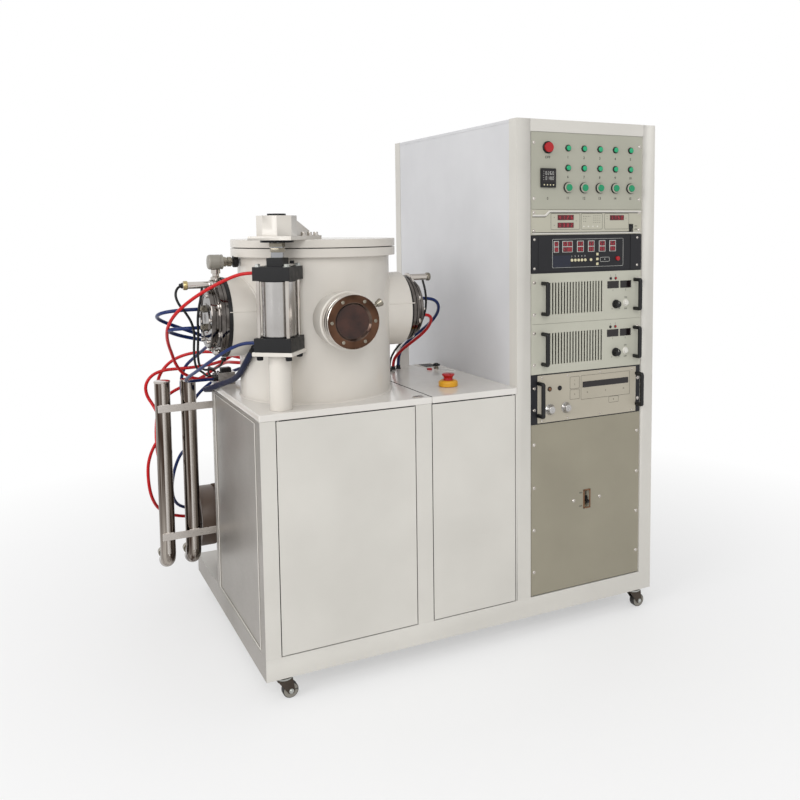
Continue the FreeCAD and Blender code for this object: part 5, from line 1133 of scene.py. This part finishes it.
def blank_panel():
    """The blank lower unit with the breaker's lever in its frame."""
    unit = "blank_panel"
    dressed("blank_panel", "blank_panel_face", BLANK_PAINT, 0.8)
    dressed("breaker_toggle", "breaker_lever", BLACK_PLASTIC, 1.0)
    drops = (72, 228, 382, 536)
    panel_screws("blank_panel_screws", unit, [(x, drop) for x in (11.5, 471) for drop in drops], 4.4)
    x, drop, width, height = 241.3, 300, 22, 62
    left, right, top, bottom = x - width / 2, x + width / 2, drop - height / 2, drop + height / 2
    fit(bars_around(unit, left, top, right, bottom, 4.5, 2.4, AMBER_PLASTIC), "breaker_frame")
    panel_screws("breaker_screws", unit, [(x - 58, drop), (x + 58, drop)], 4.2)
    marks = [("ON", x - 27, top + 6), ("OFF", x - 27, bottom - 6)]
    fit(joined(*numerals(unit, marks, 6, LEGEND)), "breaker_legends")


def rack():
    """All seven units from the top down, and the bow handles of three of them."""
    control_panel()
    display_unit()
    indicator_unit()
    for unit in ("upper_supply", "lower_supply"):
        power_supply(unit)
    gauge_unit()
    blank_panel()
    dressed("pull_handles", "bow_handles", BLACK_PLASTIC, 4.2, 4)


rack()


# Cooling manifold at the rear left: two pipes with bars across and hose tails at their backs

PIPE_RADIUS = 27
PIPE_TOP = 923
PIPE_FRONT = PIPE_Y - PIPE_RADIUS
BARS_Z = (358, 828)
TAIL_BACK = 737
RED_TAILS = (870, 780, 690, 600)
BLUE_TAILS = (820, 730, 640, 550)


def bar_welds(x, z):
    """Weld beads where a bar crosses a pipe."""
    y = PIPE_FRONT - 0.4
    return [wire([(x - 17, y, z + rise), (x + 17, y, z + rise)], 4, corner=0) for rise in (-13, 13)]


def manifold():
    """The pipes and bars in their finishes, with end caps, welds and hose clips."""
    # The pipes take the tube finish, whose streaks are painted reflections.
    dressed("cooling_manifold", "water_manifold", REFLECTION_PAINTED_TUBE, 1.0, finishes=[
        (BRUSHED, lambda c, n: c.y < PIPE_FRONT + 0.4 and n.y < 0.5),
        (NICKEL, lambda c, n: 716 < c.y < 742 and 540 < c.z < 880),
        (NICKEL, lambda c, n: c.y > 797 and c.z < 300),
    ])
    cap = turned([(27.2, 0), (28.6, 0.8), (28.6, 6), (27.4, 7.4), (0.1, 7.4)], 48)
    hardware("pipe_end_caps", cap, [Matrix.Translation((x, PIPE_Y, PIPE_TOP - 5)) for x in PIPES_X], POLISHED)
    beads = [bead for x in PIPES_X for z in BARS_Z for bead in bar_welds(x, z)]
    fit(joined(*beads), "manifold_welds", BRUSHED)
    tails = [(x, z) for x, heights in zip(PIPES_X, (RED_TAILS, BLUE_TAILS)) for z in heights]
    seat = turned([(11, 0), (11, 4), (9.4, 5), (8.6, 5), (8.6, 0)], 28, ring=True)
    seats = [facing((x, PIPE_Y + PIPE_RADIUS - 1.6, z), (0, 1, 0)) for x, z in tails]
    hardware("tail_welds", seat, seats, BRUSHED)
    band = turned([(8.2, 0), (9.4, 0), (9.4, 6), (8.2, 6)], 28, ring=True)
    clip = joined(band, slab((7.8, -2.6, 0.4), (14, 2.6, 5.6), 0.8))
    places = [facing((x, TAIL_BACK - 10, z), (0, 1, 0), 150) for x, z in tails]
    hardware("hose_clips", clip, places, ZINC)


manifold()


# Backing pump and its motor, low behind the left cabinet

MOTOR_Y = 830
MOTOR_Z = 363
MOTOR_SPAN = (25, 235)
FAN_END = -36.2
PUMP_FACE = 565
PUMP_TOP = 487
PUMP_BACK = 935
SUCTION = (400, 830)


def motor_fins():
    """Fins along the motor, all round except where its foot is."""
    fin = slab((MOTOR_SPAN[0] + 4, -1.4, 104), (MOTOR_SPAN[1] - 14, 1.4, 116), 1.0, 1)
    turns = [step for step in range(32) if not 11 < step < 21]
    axis = Matrix.Translation((0, MOTOR_Y, MOTOR_Z))
    places = [axis @ Matrix.Rotation(math.tau * step / 32, 4, "X") for step in turns]
    hardware("motor_fins", fin, places, MOTOR_PAINT)


def fan_grille():
    """Rings and spokes of wire over the motor's fan."""
    rings = []
    for radius in (24, 40, 56, 72, 88):
        turns = [math.tau * k / 48 for k in range(48)]
        circle = [(FAN_END, MOTOR_Y + radius * math.cos(turn), MOTOR_Z + radius * math.sin(turn))
                  for turn in turns]
        rings.append(wire(circle, 3, corner=0, closed=True, bevel=1))
    for step in range(6):
        angle = math.tau * step / 6
        inner, outer = [(FAN_END + 0.6, MOTOR_Y + reach * math.cos(angle), MOTOR_Z + reach * math.sin(angle))
                        for reach in (12, 100)]
        rings.append(wire([inner, outer], 4, corner=0, bevel=1))
    fit(joined(*rings), "fan_grille", BLACK_STEEL)


def pump():
    """The pump with its motor's box, end cover, sight glass, plugs, ribs, flanges and water nipples."""
    dressed("vacuum_pump", "backing_pump", PUMP_PAINT, 4.0, 3, finishes=[
        (MOTOR_PAINT, lambda c, n: c.x < 236 and c.z > 150),
        (BRUSHED, lambda c, n: c.z > PUMP_TOP + 2),
    ])
    motor_fins()
    fan_grille()
    box = joined(slab((96, 796, 466), (170, 864, 506), 4, 3), slab((93, 793, 504), (173, 867, 512), 2.5, 2))
    fit(box, "motor_terminal_box", BLACK_PAINT)
    gland = turned([(13, 0), (13, 7), (11, 8), (11, 20), (8, 22), (5, 22), (5, 18), (0.1, 18)], 20)
    fit(moved(gland, facing((170, 830, 486), (1, 0, 0))), "motor_cable_gland", BLACK_PLASTIC)
    lids = [slab((102 + 56 * k, 800 + 54 * n, 511.6), (108 + 56 * k, 806 + 54 * n, 514), 0.8)
            for k in (0, 1) for n in (0, 1)]
    fit(joined(*lids), "terminal_box_screws", ZINC)
    cover = slab((PUMP_FACE - 3, 742, 174), (PUMP_FACE + 11, 918, 470), 7, 4)
    fit(cover, "pump_end_cover", PUMP_PAINT)
    edge = [(y, z) for y in (756, 904) for z in (188, 280, 364, 456)] + [(830, 188), (830, 456)]
    bolts = [facing((PUMP_FACE + 11, y, z), (1, 0, 0)) for y, z in edge]
    hardware("pump_cover_bolts", hex_bolt(13, 8), bolts, ZINC)
    rim = coated(turned([(12, 0), (20, 0), (20, 6), (17.5, 8), (12, 8)], 36, ring=True), BRASS)
    glass = coated(turned([(12, 0), (12, 5), (10, 6), (0.1, 6)], 32), AMBER_PLASTIC)
    fit(moved(joined(rim, glass), facing((400, PUMP_BACK, 230), (0, 1, 0))), "oil_sight_glass")
    filler = turned([(17, 0), (17, 5), (15, 6), (22, 8), (22, 20), (18, 24), (0.1, 24)], 12)
    fit(moved(filler, facing((500, 880, PUMP_TOP))), "oil_filler_cap", BLACK_PLASTIC)
    drain = turned([(13, 0), (13, 4), (10, 5), (10, 14), (8, 16), (0.1, 16)], 6)
    fit(moved(drain, facing((470, PUMP_BACK, 182), (0, 1, 0))), "oil_drain_plug", BRASS)
    flange = turned([(30.2, 0), (44, 0), (46, 2), (46, 12), (44, 14), (30.2, 14)], 56, ring=True)
    places = [facing((*SUCTION, PUMP_TOP)), facing((*SUCTION, 545)),
              facing((SUCTION[0], 700, 607), (0, -1, 0))]
    hardware("vacuum_line_flanges", flange, places, BRUSHED)
    places = around(Matrix.Translation((*SUCTION, PUMP_TOP + 14)), 6, 38)
    hardware("pump_flange_bolts", hex_bolt(11, 6), places, ZINC)
    rib = slab((0, -1.6, 0), (5, 1.6, 250), 1.2)
    upright = Matrix.Rotation(math.pi / 2, 4, "Z")
    places = [Matrix.Translation((262 + 22 * k, PUMP_BACK - 2, 196)) @ upright for k in range(4)]
    hardware("pump_ribs", rib, places, PUMP_PAINT)
    nipple = turned([(12, 0), (12, 8), (9.5, 9), (9.5, 12), (6.2, 13), (6.2, 20), (0.1, 20)], 6)
    tops = [facing((300, 800, PUMP_TOP)), facing((330, 875, PUMP_TOP))]
    hardware("pump_water_nipples", nipple, tops, BRASS)


pump()


# On the worktable: air valve, emergency stop, duct, vent, knob and small plates

def air_valve():
    """The lift's valve with its coil and silencer."""
    dressed("air_valve", "air_lift_valve", ALUMINIUM, 1.6, finishes=[
        (BLACK_PLASTIC, lambda c, n: c.x < 9.6),
    ])
    coil = slab((22, 584, 953), (58, 616, 970), 3, 3)
    fit(coil, "valve_coil", BLACK_PLASTIC)
    screw = cap_screw(3.2, 3.2)
    hardware("valve_screws", screw, [facing((16, y, 954)) for y in (586, 614)], BLACK_STEEL)
    silencer = turned([(8, 0), (8, 4), (6.4, 5), (6.4, 17), (3, 21), (0.1, 21)], 20)
    fit(moved(silencer, facing((70, 600, 930), (1, 0, 0))), "valve_silencer", BRASS)


def emergency_stop():
    """A mushroom head on a waisted stem, in a yellow housing."""
    x, y = 714, 152
    body = turned([(11.6, 0), (31, 0), (34, 2.5), (34, 14), (33, 17.5), (30.5, 20.4), (27, 22), (19.6, 22),
                   (18.6, 21), (18.6, 9), (11.6, 9)], 72, ring=True)
    fit(moved(body, Matrix.Translation((x, y, TABLE))), "estop_housing", YELLOW_PLASTIC, node="estop_collar")
    head = turned([(10.9, 888), (10.9, 926), (16.8, 927), (17, 934), (16, 937), (16.2, 941), (18.6, 946),
                   (22, 949), (22.4, 951), (22, 953.4), (20, 955), (12, 955.6), (0.1, 956)], 64)
    moved(head, Matrix.Translation((x, y, 0)))
    coated(head, RED_PLASTIC)
    painted_where(head, [(BLACK_PLASTIC, lambda c, n: c.z < 926)])
    fit(head, "estop_head", body="estop_button", node="estop_button")
    grip = slab((20.6, -3.2, 949.2), (22.7, 3.2, 954), 0.8)
    places = around(Matrix.Translation((x, y, 0)), 3)
    hardware("estop_grips", grip, places, RED_PLASTIC, body="estop_button")


def table_details():
    """Duct, hose sleeves, vent in its welded frame, valve knob, plug and small plates."""
    duct = slab((735, 612, TABLE - 0.2), (775, 651, 996), 3, 3)
    fit(duct, "cable_duct", TABLE_PAINT)
    foot = slab((730, 608, TABLE - 0.2), (780, 654, TABLE + 2), 0.8)
    fit(foot, "cable_duct_foot", TABLE_PAINT)
    sleeve = turned([(6.6, 0), (10.4, 0), (10.4, 3), (8.6, 4.2), (8.2, 14), (6.6, 14)], 32, ring=True)
    places = [facing((x, y, TABLE)) for x, y in ((717, 592), (690, 580), (662, 552))]
    hardware("hose_sleeves", sleeve, places, BLACK_PLASTIC)
    outline = ((810, 612), (846, 420), (884, 420), (884, 640), (810, 640), (810, 612))
    fit(wire([(x, y, TABLE + 0.6) for x, y in outline], 3.0, corner=0), "service_frame", TABLE_PAINT)
    slots = [coated(slab((826 + 9 * k, 560, TABLE + 0.1), (831 + 9 * k, 634, TABLE + 2.4), 0.6, 1),
                    BLACK_PLASTIC) for k in range(6)]
    tray = coated(slab((820, 554, TABLE - 0.1), (880, 640, TABLE + 1), 0.5, 1), TABLE_PAINT)
    fit(joined(tray, *slots), "vent_strip")
    stem = coated(turned([(9, 0), (9, 8), (7, 9), (7, 16), (0.1, 16)], 24), NICKEL)
    hub = coated(turned([(8, 13), (8, 23), (6, 25), (0.1, 25)], 24), BLACK_PLASTIC)
    lobe = coated(slab((5, -3.6, 14), (15, 3.6, 22), 2.6, 3), BLACK_PLASTIC)
    knob = joined(stem, hub, *copies(lobe, around(Matrix(), 5)))
    fit(moved(knob, facing((840, 500, TABLE))), "service_valve_knob")
    block = slab((802, 496, TABLE - 0.1), (820, 508, TABLE + 7), 1.6)
    fit(block, "service_link", RED_PLASTIC)
    plug = turned([(0.1, 0.3), (18, 0.3), (19, 1.2), (15, 3.4), (0.1, 4)], 48)
    moved(plug, Matrix.Translation((537, 26, TABLE - 0.4)) @ Matrix.Diagonal((1.1, 0.72, 1, 1)))
    fit(plug, "oval_hole_plug", POLISHED)
    plate = slab((3, 624, TABLE - 0.1), (72, 722, TABLE + 3.4), 0.9)
    # The plate takes the panels' paint, with its painted cool light.
    fit(plate, "terminal_plate", COOL_LIT_PAINT)
    fit(slab((14, 652, TABLE + 3.2), (48, 704, TABLE + 27), 2.5), "terminal_block", BLACK_PLASTIC)
    places = [facing((x, y, TABLE + 3.3)) for x in (60, 12) for y in (634, 712)]
    hardware("terminal_plate_screws", pan_screw(4.2), places, ZINC)
    strap = slab((-0.4, 10, TABLE - 14), (1.2, 650, TABLE - 5), 0.4, 1)
    fit(strap, "table_side_rail", CHAMBER_PAINT)


air_valve()
emergency_stop()
table_details()


# Casters: hubs, axle nuts and the ball race under each corner

CASTERS = {"front_left": (62, 25), "front_right": (1443, 25),
           "rear_left": (62, 995), "rear_right": (1443, 995)}
AXLE_TRAIL = 18
AXLE_Z = 25


def caster(corner, x, y):
    """One swivelling fork and its wheel, with axle nuts and a ball race."""
    axle = Vector((x + AXLE_TRAIL, y, AXLE_Z))
    dressed(f"{corner}_fork", f"{corner}_caster_fork", CASTER_STEEL, 0.8)
    dressed(f"{corner}_wheel", f"{corner}_caster_wheel", WHEEL_RUBBER, 2.5, finishes=[
        (GREY_PAINT, lambda c, n: math.hypot(c.x - axle.x, c.z - axle.z) < 17)])
    nuts = [facing(axle + Vector((0, side * 17, 0)), (0, side, 0)) for side in (-1, 1)]
    hardware(f"{corner}_axle_nuts", hex_bolt(10, 5), nuts, ZINC, body=f"{corner}_fork")
    race = turned([(24, 0), (26, 1.4), (26, 5), (24, 6.2)], 40, ring=True)
    fit(moved(race, Matrix.Translation((x, y, 65.6))), f"{corner}_ball_race", ZINC, body=f"{corner}_fork")


for corner, (x, y) in CASTERS.items():
    caster(corner, x, y)


# Screws of the rear and right panels

def closures():
    """Screws of the rear and right panels, and the plate where the mains cables come in."""
    rows = [facing((x, DEPTH - 1, z), (0, 1, 0)) for x in (968, 1442)
            for z in (170, 480, 790, 1100, 1410, 1720)]
    hardware("rear_panel_screws", pan_screw(4.4), rows, ZINC)
    inlet = joined(slab((1120, DEPTH - 2, 190), (1290, DEPTH - 0.4, 300), 0.6),
                   *copies(turned([(15, -2), (15, 0.4), (9, 0.5), (9, -0.6), (0.1, -0.6)], 28),
                           [facing((1150 + 36 * k, DEPTH - 0.4, 245), (0, 1, 0)) for k in range(4)]))
    fit(inlet, "cable_inlet_plate", ZINC)
    sides = [facing((WIDTH - 1, y, z), (1, 0, 0)) for y in (64, 956) for z in (170, 560, 980, 1390, 1790)]
    hardware("right_panel_screws", pan_screw(4.4), sides, ZINC)


closures()


# Cords and hoses

AIR_HOSE = 11
WATER_HOSE = 12


def above_table(points):
    """Places whose third number is the rise above the worktable."""
    return [(x, y, TABLE + rise) for x, y, rise in points]


def cord_curve(name, points, diameter, material, body="frame"):
    """A hose on a smooth line, with the route's points as its control points."""
    curve = bpy.data.curves.new(name, "CURVE")
    curve.dimensions = "3D"
    line = curve.splines.new("NURBS")
    line.points.add(len(points) - 1)
    for point, place in zip(line.points, points):
        point.co = (*spot(*place), 1)
    line.order_u = 3
    line.use_endpoint_u = True
    line.resolution_u = 10
    curve.bevel_depth = diameter / 2 * MM
    curve.bevel_resolution = 5
    curve.use_fill_caps = True
    hose = bpy.data.objects.new(name, curve)
    bpy.context.scene.collection.objects.link(hose)
    curve.materials.append(material)
    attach(hose, body)
    return hose


# Piece, node, diameter, length and route of each hose, as in the part's source
HOSES = (
    ("red_air_line", "red_air_hose", AIR_HOSE, 829,
     [lift_spot(0, 75, AIR_PORTS[1]), lift_spot(0, 112, AIR_PORTS[1])] + above_table([
         (-42, 168, 404), (-98, 212, 370), (-148, 256, 330), (-184, 302, 286), (-196, 356, 244),
         (-190, 412, 206), (-176, 468, 170), (-158, 520, 134), (-142, 562, 96), (-118, 588, 58),
         (-88, 604, 36)]) + [(-51, 610, 932), (-6, 610, 932)]),
    ("blue_air_line", "blue_air_hose", AIR_HOSE, 633,
     [lift_spot(0, 75, AIR_PORTS[0]), lift_spot(0, 112, AIR_PORTS[0])] + above_table([
         (-36, 160, 190), (-66, 216, 160), (-90, 282, 126), (-108, 352, 94), (-120, 420, 68),
         (-122, 480, 48), (-112, 528, 33), (-88, 568, 25)]) + [(-51, 590, 932), (-6, 590, 932)]),
    ("left_source_water_line", "left_source_hose", WATER_HOSE, 961,
     [(-100, 320, 1210), (-140, 320, 1210)] + above_table([
         (-186, 333, 297), (-216, 370, 288), (-221, 418, 273), (-198, 459, 254), (-150, 480, 232),
         (-94, 490, 208), (-40, 510, 184), (-14, 558, 164), (-12, 624, 142), (-22, 700, 110),
         (-44, 768, 74), (-64, 812, 42), (-75, 836, -6), (-77, 828, -57)])
     + [(-77, 789, 820), (-77, 737, 820)]),
    ("right_source_water_line", "right_source_hose", WATER_HOSE, 507,
     [(676, 320, 1210), (718, 320, 1210)] + above_table([
         (762, 334, 287), (790, 368, 254), (792, 414, 212), (774, 464, 172), (750, 514, 136),
         (730, 560, 98), (717, 592, 54), (717, 592, 0)])),
    ("red_chamber_water_line", "red_manifold_hose", WATER_HOSE, 602,
     [(-168, 737, 870), (-168, 783, 870)] + above_table([
         (-164, 831, -23), (-147, 860, 17), (-106, 858, 62), (-48, 820, 90), (18, 762, 100),
         (62, 692, 96)]) + [round_chamber(125, 340, 1000), round_chamber(125, 285, 1000)]),
    ("blue_chamber_water_line", "blue_manifold_hose", WATER_HOSE, 565,
     [(-77, 737, 730), (-77, 780, 730)] + above_table([
         (-68, 828, -162), (-42, 856, -118), (-4, 850, -66), (38, 810, -22), (78, 750, 12),
         (108, 688, 36)]) + [round_chamber(118, 340, 965), round_chamber(118, 285, 965)]),
)

# More hoses and cables, read from the photo or led where they would run: piece, diameter, finish
# and route
MORE_HOSES = (
    ("red_loop_water_line", WATER_HOSE, HOSE_RED,
     [(-168, 737, 780), (-168, 743, 780), (-168, 788, 780), (-180, 822, 812), (-202, 834, 850),
      (-206, 832, 892), (-182, 826, 928), (-140, 818, 944), (-90, 808, 946), (-30, 798, 948),
      (28, 772, 958), (66, 730, 976), (96, 690, 1003), (118, 655, 1026),
      round_chamber(118, 340, 1035), round_chamber(118, 272, 1035)]),
    ("red_return_water_line", WATER_HOSE, HOSE_RED,
     [(-168, 737, 600), (-168, 748, 600), (-168, 786, 600), (-172, 824, 624), (-172, 850, 690),
      (-164, 866, 760), (-148, 876, 815), (-112, 878, 842), (-76, 870, 862), (-28, 850, 884),
      (20, 815, 915), (52, 755, 955), (66, 690, 975), round_chamber(132, 340, 990),
      round_chamber(132, 272, 990)]),
    ("red_pump_water_line", WATER_HOSE, HOSE_RED,
     [(-168, 737, 690), (-168, 743, 690), (-168, 788, 690), (-179, 820, 668), (-196, 832, 628),
      (-208, 834, 580), (-206, 840, 510), (-194, 860, 450), (-165, 900, 390), (-105, 945, 342),
      (-20, 968, 318), (60, 970, 312), (130, 968, 325), (200, 966, 350), (262, 950, 398),
      (294, 922, 450), (300, 904, 500), (300, 904, 551), (300, 873, 582), (300, 831, 582),
      (300, 800, 551), (300, 800, 505), (300, 800, 500)]),
    ("blue_pump_water_line", WATER_HOSE, HOSE_BLUE,
     [(-77, 737, 640), (-77, 743, 640), (-77, 788, 640), (-88, 821, 618), (-104, 834, 579),
      (-118, 840, 526), (-120, 858, 466), (-106, 896, 415), (-76, 938, 376), (-20, 958, 354),
      (60, 964, 355), (130, 970, 370), (200, 976, 392), (268, 979, 425), (318, 980, 466),
      (330, 980, 510), (330, 980, 552), (330, 949, 583), (330, 906, 583), (330, 875, 552),
      (330, 875, 506), (330, 875, 500)]),
    ("navy_chamber_line", 20, CABLE_NAVY,
     [round_chamber(-153, 272, 1086), (36, 217, 1068), (29, 250, 1038), (24, 290, 1004),
      (19, 340, 975), (12, 395, 955), (3, 450, 940), (-8, 510, 922), (-20, 560, 907),
      (-27, 602, 896), (-26, 645, 887), (3, 674, 881), (28, 674, 880)]),
    ("left_striker_cable", 8, CABLE_BLACK,
     [(-151, 320, 1288), (-166, 316, 1286), (-178, 305, 1262), (-170, 296, 1232), (-150, 292, 1205),
      (-130, 294, 1170), (-120, 310, 1130), (-116, 350, 1090), (-106, 405, 1040), (-86, 480, 992),
      (-45, 585, 962), (-22, 640, 940), (-4, 658, 930), (14, 658, 930)]),
    ("left_ignition_cable", 8, CABLE_BLACK,
     [(-92, 313, 1277), (-98, 302, 1250), (-108, 292, 1215), (-114, 286, 1180), (-110, 300, 1135),
      (-104, 345, 1090), (-95, 400, 1043), (-75, 476, 996), (-35, 582, 968), (-14, 642, 960),
      (10, 656, 956), (24, 660, 937)]),
    ("left_source_return_line", WATER_HOSE, HOSE_BLUE,
     [(-100, 320, 1150), (-112, 320, 1150), (-150, 320, 1150), (-184, 344, 1147), (-192, 385, 1139),
      (-172, 422, 1126), (-133, 446, 1110), (-85, 456, 1097), (-30, 460, 1084), (8, 466, 1076),
      round_chamber(150, 272, 1075)]),
    ("left_sensor_cable", 7, CABLE_BLACK,
     [(-28, 320, 1044), (-30, 326, 1028), (-40, 350, 1010), (-46, 400, 1000), (-40, 470, 992),
      (-28, 550, 985), (-16, 625, 962), (-6, 670, 940), (4, 672, 930), (14, 672, 930)]),
    ("right_source_return_line", WATER_HOSE, HOSE_RED,
     [(676, 320, 1150), (706, 320, 1150), (740, 338, 1140), (756, 372, 1112), (752, 414, 1076),
      (734, 464, 1040), (712, 514, 1005), (696, 560, 970), (690, 580, 940), (690, 580, 910)]),
    ("right_striker_cable", 8, CABLE_BLACK,
     [(695, 312, 1276), (698, 300, 1250), (700, 294, 1210), (698, 294, 1170), (688, 304, 1130),
      (678, 330, 1095), (668, 390, 1060), (664, 450, 1030), (662, 510, 990), (662, 548, 950),
      (662, 552, 910)]),
)


for name, node, diameter, length, points in HOSES:
    red = name.startswith("red")
    hose = cord_curve(name, points, diameter, HOSE_RED if red else HOSE_BLUE)
    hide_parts(node)

for name, diameter, material, points in MORE_HOSES:
    hose = cord_curve(name, points, diameter, material)


def off_chamber(degrees, z):
    """The matrix that stands a piece on the chamber's wall, facing out."""
    outward = Vector(round_chamber(degrees, 1, 0)) - Vector(round_chamber(degrees, 0, 0))
    return facing(round_chamber(degrees, CHAMBER_RADIUS, z), outward)


def line_ends():
    """What the hoses above end in: barbed nipples, a nut with a ball joint, a socket and glands."""
    barb = turned([(13, -3), (13, 4), (9.5, 6), (6.2, 8), (6.2, 26)], 24)
    places = [off_chamber(degrees, z) for degrees, z in ((118, 1035), (132, 990), (150, 1075))]
    hardware("chamber_water_nipples", barb, places, BRUSHED)
    nut = turned([(20, -4), (20, 6), (14, 8), (14, 12)], 6)
    moved(nut, off_chamber(-153, 1086))
    ball = turned([(0.1, -15), (8, -13), (13, -7.5), (15, 0), (13, 7.5), (12.5, 16), (10.4, 20)], 24)
    moved(ball, facing(round_chamber(-153, 272, 1086), (-10, 20, -18)))
    fit(joined(nut, ball), "chamber_hose_fitting", BLACK_STEEL)
    socket = turned([(14, 0), (14, 10), (11, 12), (10.4, 20)], 6)
    fit(moved(socket, facing((40, 674, 880), (-1, 0, 0))), "table_hose_socket", BLACK_STEEL)
    fit(slab((20, 654.6, 866), (60, 674, 887), 2), "table_socket_bracket", ZINC)
    plug = turned([(9.6, 0), (9.6, 8), (8, 10), (0.1, 10)], 20)
    fit(moved(plug, facing((-77, 731, 550), (0, 1, 0))), "spare_tail_cap", BLACK_PLASTIC)
    gland = turned([(9, 0), (9, 6), (7, 7), (7, 12), (4.5, 13)], 12)
    places = [facing((-149, 320, STRIKER_Z), (-1, 0, 0)), facing((-28, 320, 1046), (0, 0, -1))]
    hardware("striker_glands", gland, places, BLACK_PLASTIC)


line_ends()


# Floor and light

WHITE = (1, 1, 1, 1)


def white_when_seen(tree, shader, rest):
    """The shader to the camera, to reflections and through glass, and the rest to all other rays."""
    rays = add_node(tree, "ShaderNodeLightPath").outputs
    seen = add_node(tree, "ShaderNodeMath", {"operation": "MAXIMUM"},
                    {0: rays["Is Camera Ray"], 1: rays["Is Glossy Ray"]}).outputs[0]
    seen = add_node(tree, "ShaderNodeMath", {"operation": "MAXIMUM"},
                    {0: seen, 1: rays["Is Transmission Ray"]}).outputs[0]
    return add_node(tree, "ShaderNodeMixShader", inputs={0: seen, 1: rest, 2: shader}).outputs[0]


def studio():
    """A matt floor that takes the machine's shadow, and fades by metres into a plain white room."""
    bpy.ops.object.select_all(action="DESELECT")
    bpy.ops.mesh.primitive_plane_add(size=40, location=(0, 0, 0))
    floor = bpy.context.object
    floor.name = "floor"
    material, tree, shader = new_material("matt_white_floor", Roughness=0.95)
    shader.inputs["Base Color"].default_value = linear("#F2F2F2")
    place = add_node(tree, "ShaderNodeTexCoord").outputs["Object"]
    away = add_node(tree, "ShaderNodeVectorMath", {"operation": "LENGTH"}, {0: place}).outputs["Value"]
    shaded, faded_out = 0.9, 2.8
    far = ramp(tree, away, shaded, faded_out, 0.45, 1)
    white = add_node(tree, "ShaderNodeEmission", inputs={"Color": WHITE, "Strength": 1.0})
    faded = add_node(tree, "ShaderNodeMixShader", inputs={
        0: far, 1: shader.outputs[0], 2: white.outputs[0]}).outputs[0]
    shown = white_when_seen(tree, faded, shader.outputs[0])
    tree.links.new(shown, tree.nodes["Material Output"].inputs["Surface"])
    floor.data.materials.append(material)
    world = bpy.data.worlds.new("studio")
    bpy.context.scene.world = world
    world.use_nodes = True
    tree = world.node_tree
    tree.nodes.clear()
    white = add_node(tree, "ShaderNodeBackground", inputs={"Color": WHITE, "Strength": 1.0})
    soft = add_node(tree, "ShaderNodeBackground", inputs={"Color": WHITE, "Strength": 0.55})
    shown = white_when_seen(tree, white.outputs[0], soft.outputs[0])
    add_node(tree, "ShaderNodeOutputWorld", inputs={"Surface": shown})


def lamp(name, place, target, power, size):
    """A square soft light of size metres that faces its target."""
    data = bpy.data.lights.new(name, "AREA")
    data.energy = power
    data.size = size
    light = bpy.data.objects.new(name, data)
    light.location = place
    light.rotation_mode = "QUATERNION"
    light.rotation_quaternion = (Vector(target) - Vector(place)).to_track_quat("-Z", "Y")
    bpy.context.scene.collection.objects.link(light)


studio()
lamp("key_light", (-2.6, -7.6, 5.2), (0, 0, 0.9), 268, 4.5)
lamp("fill_light", (-6.8, -2.2, 3.8), (0, 0, 1.0), 200, 4.0)

bpy.context.scene.view_settings.view_transform = "Standard"
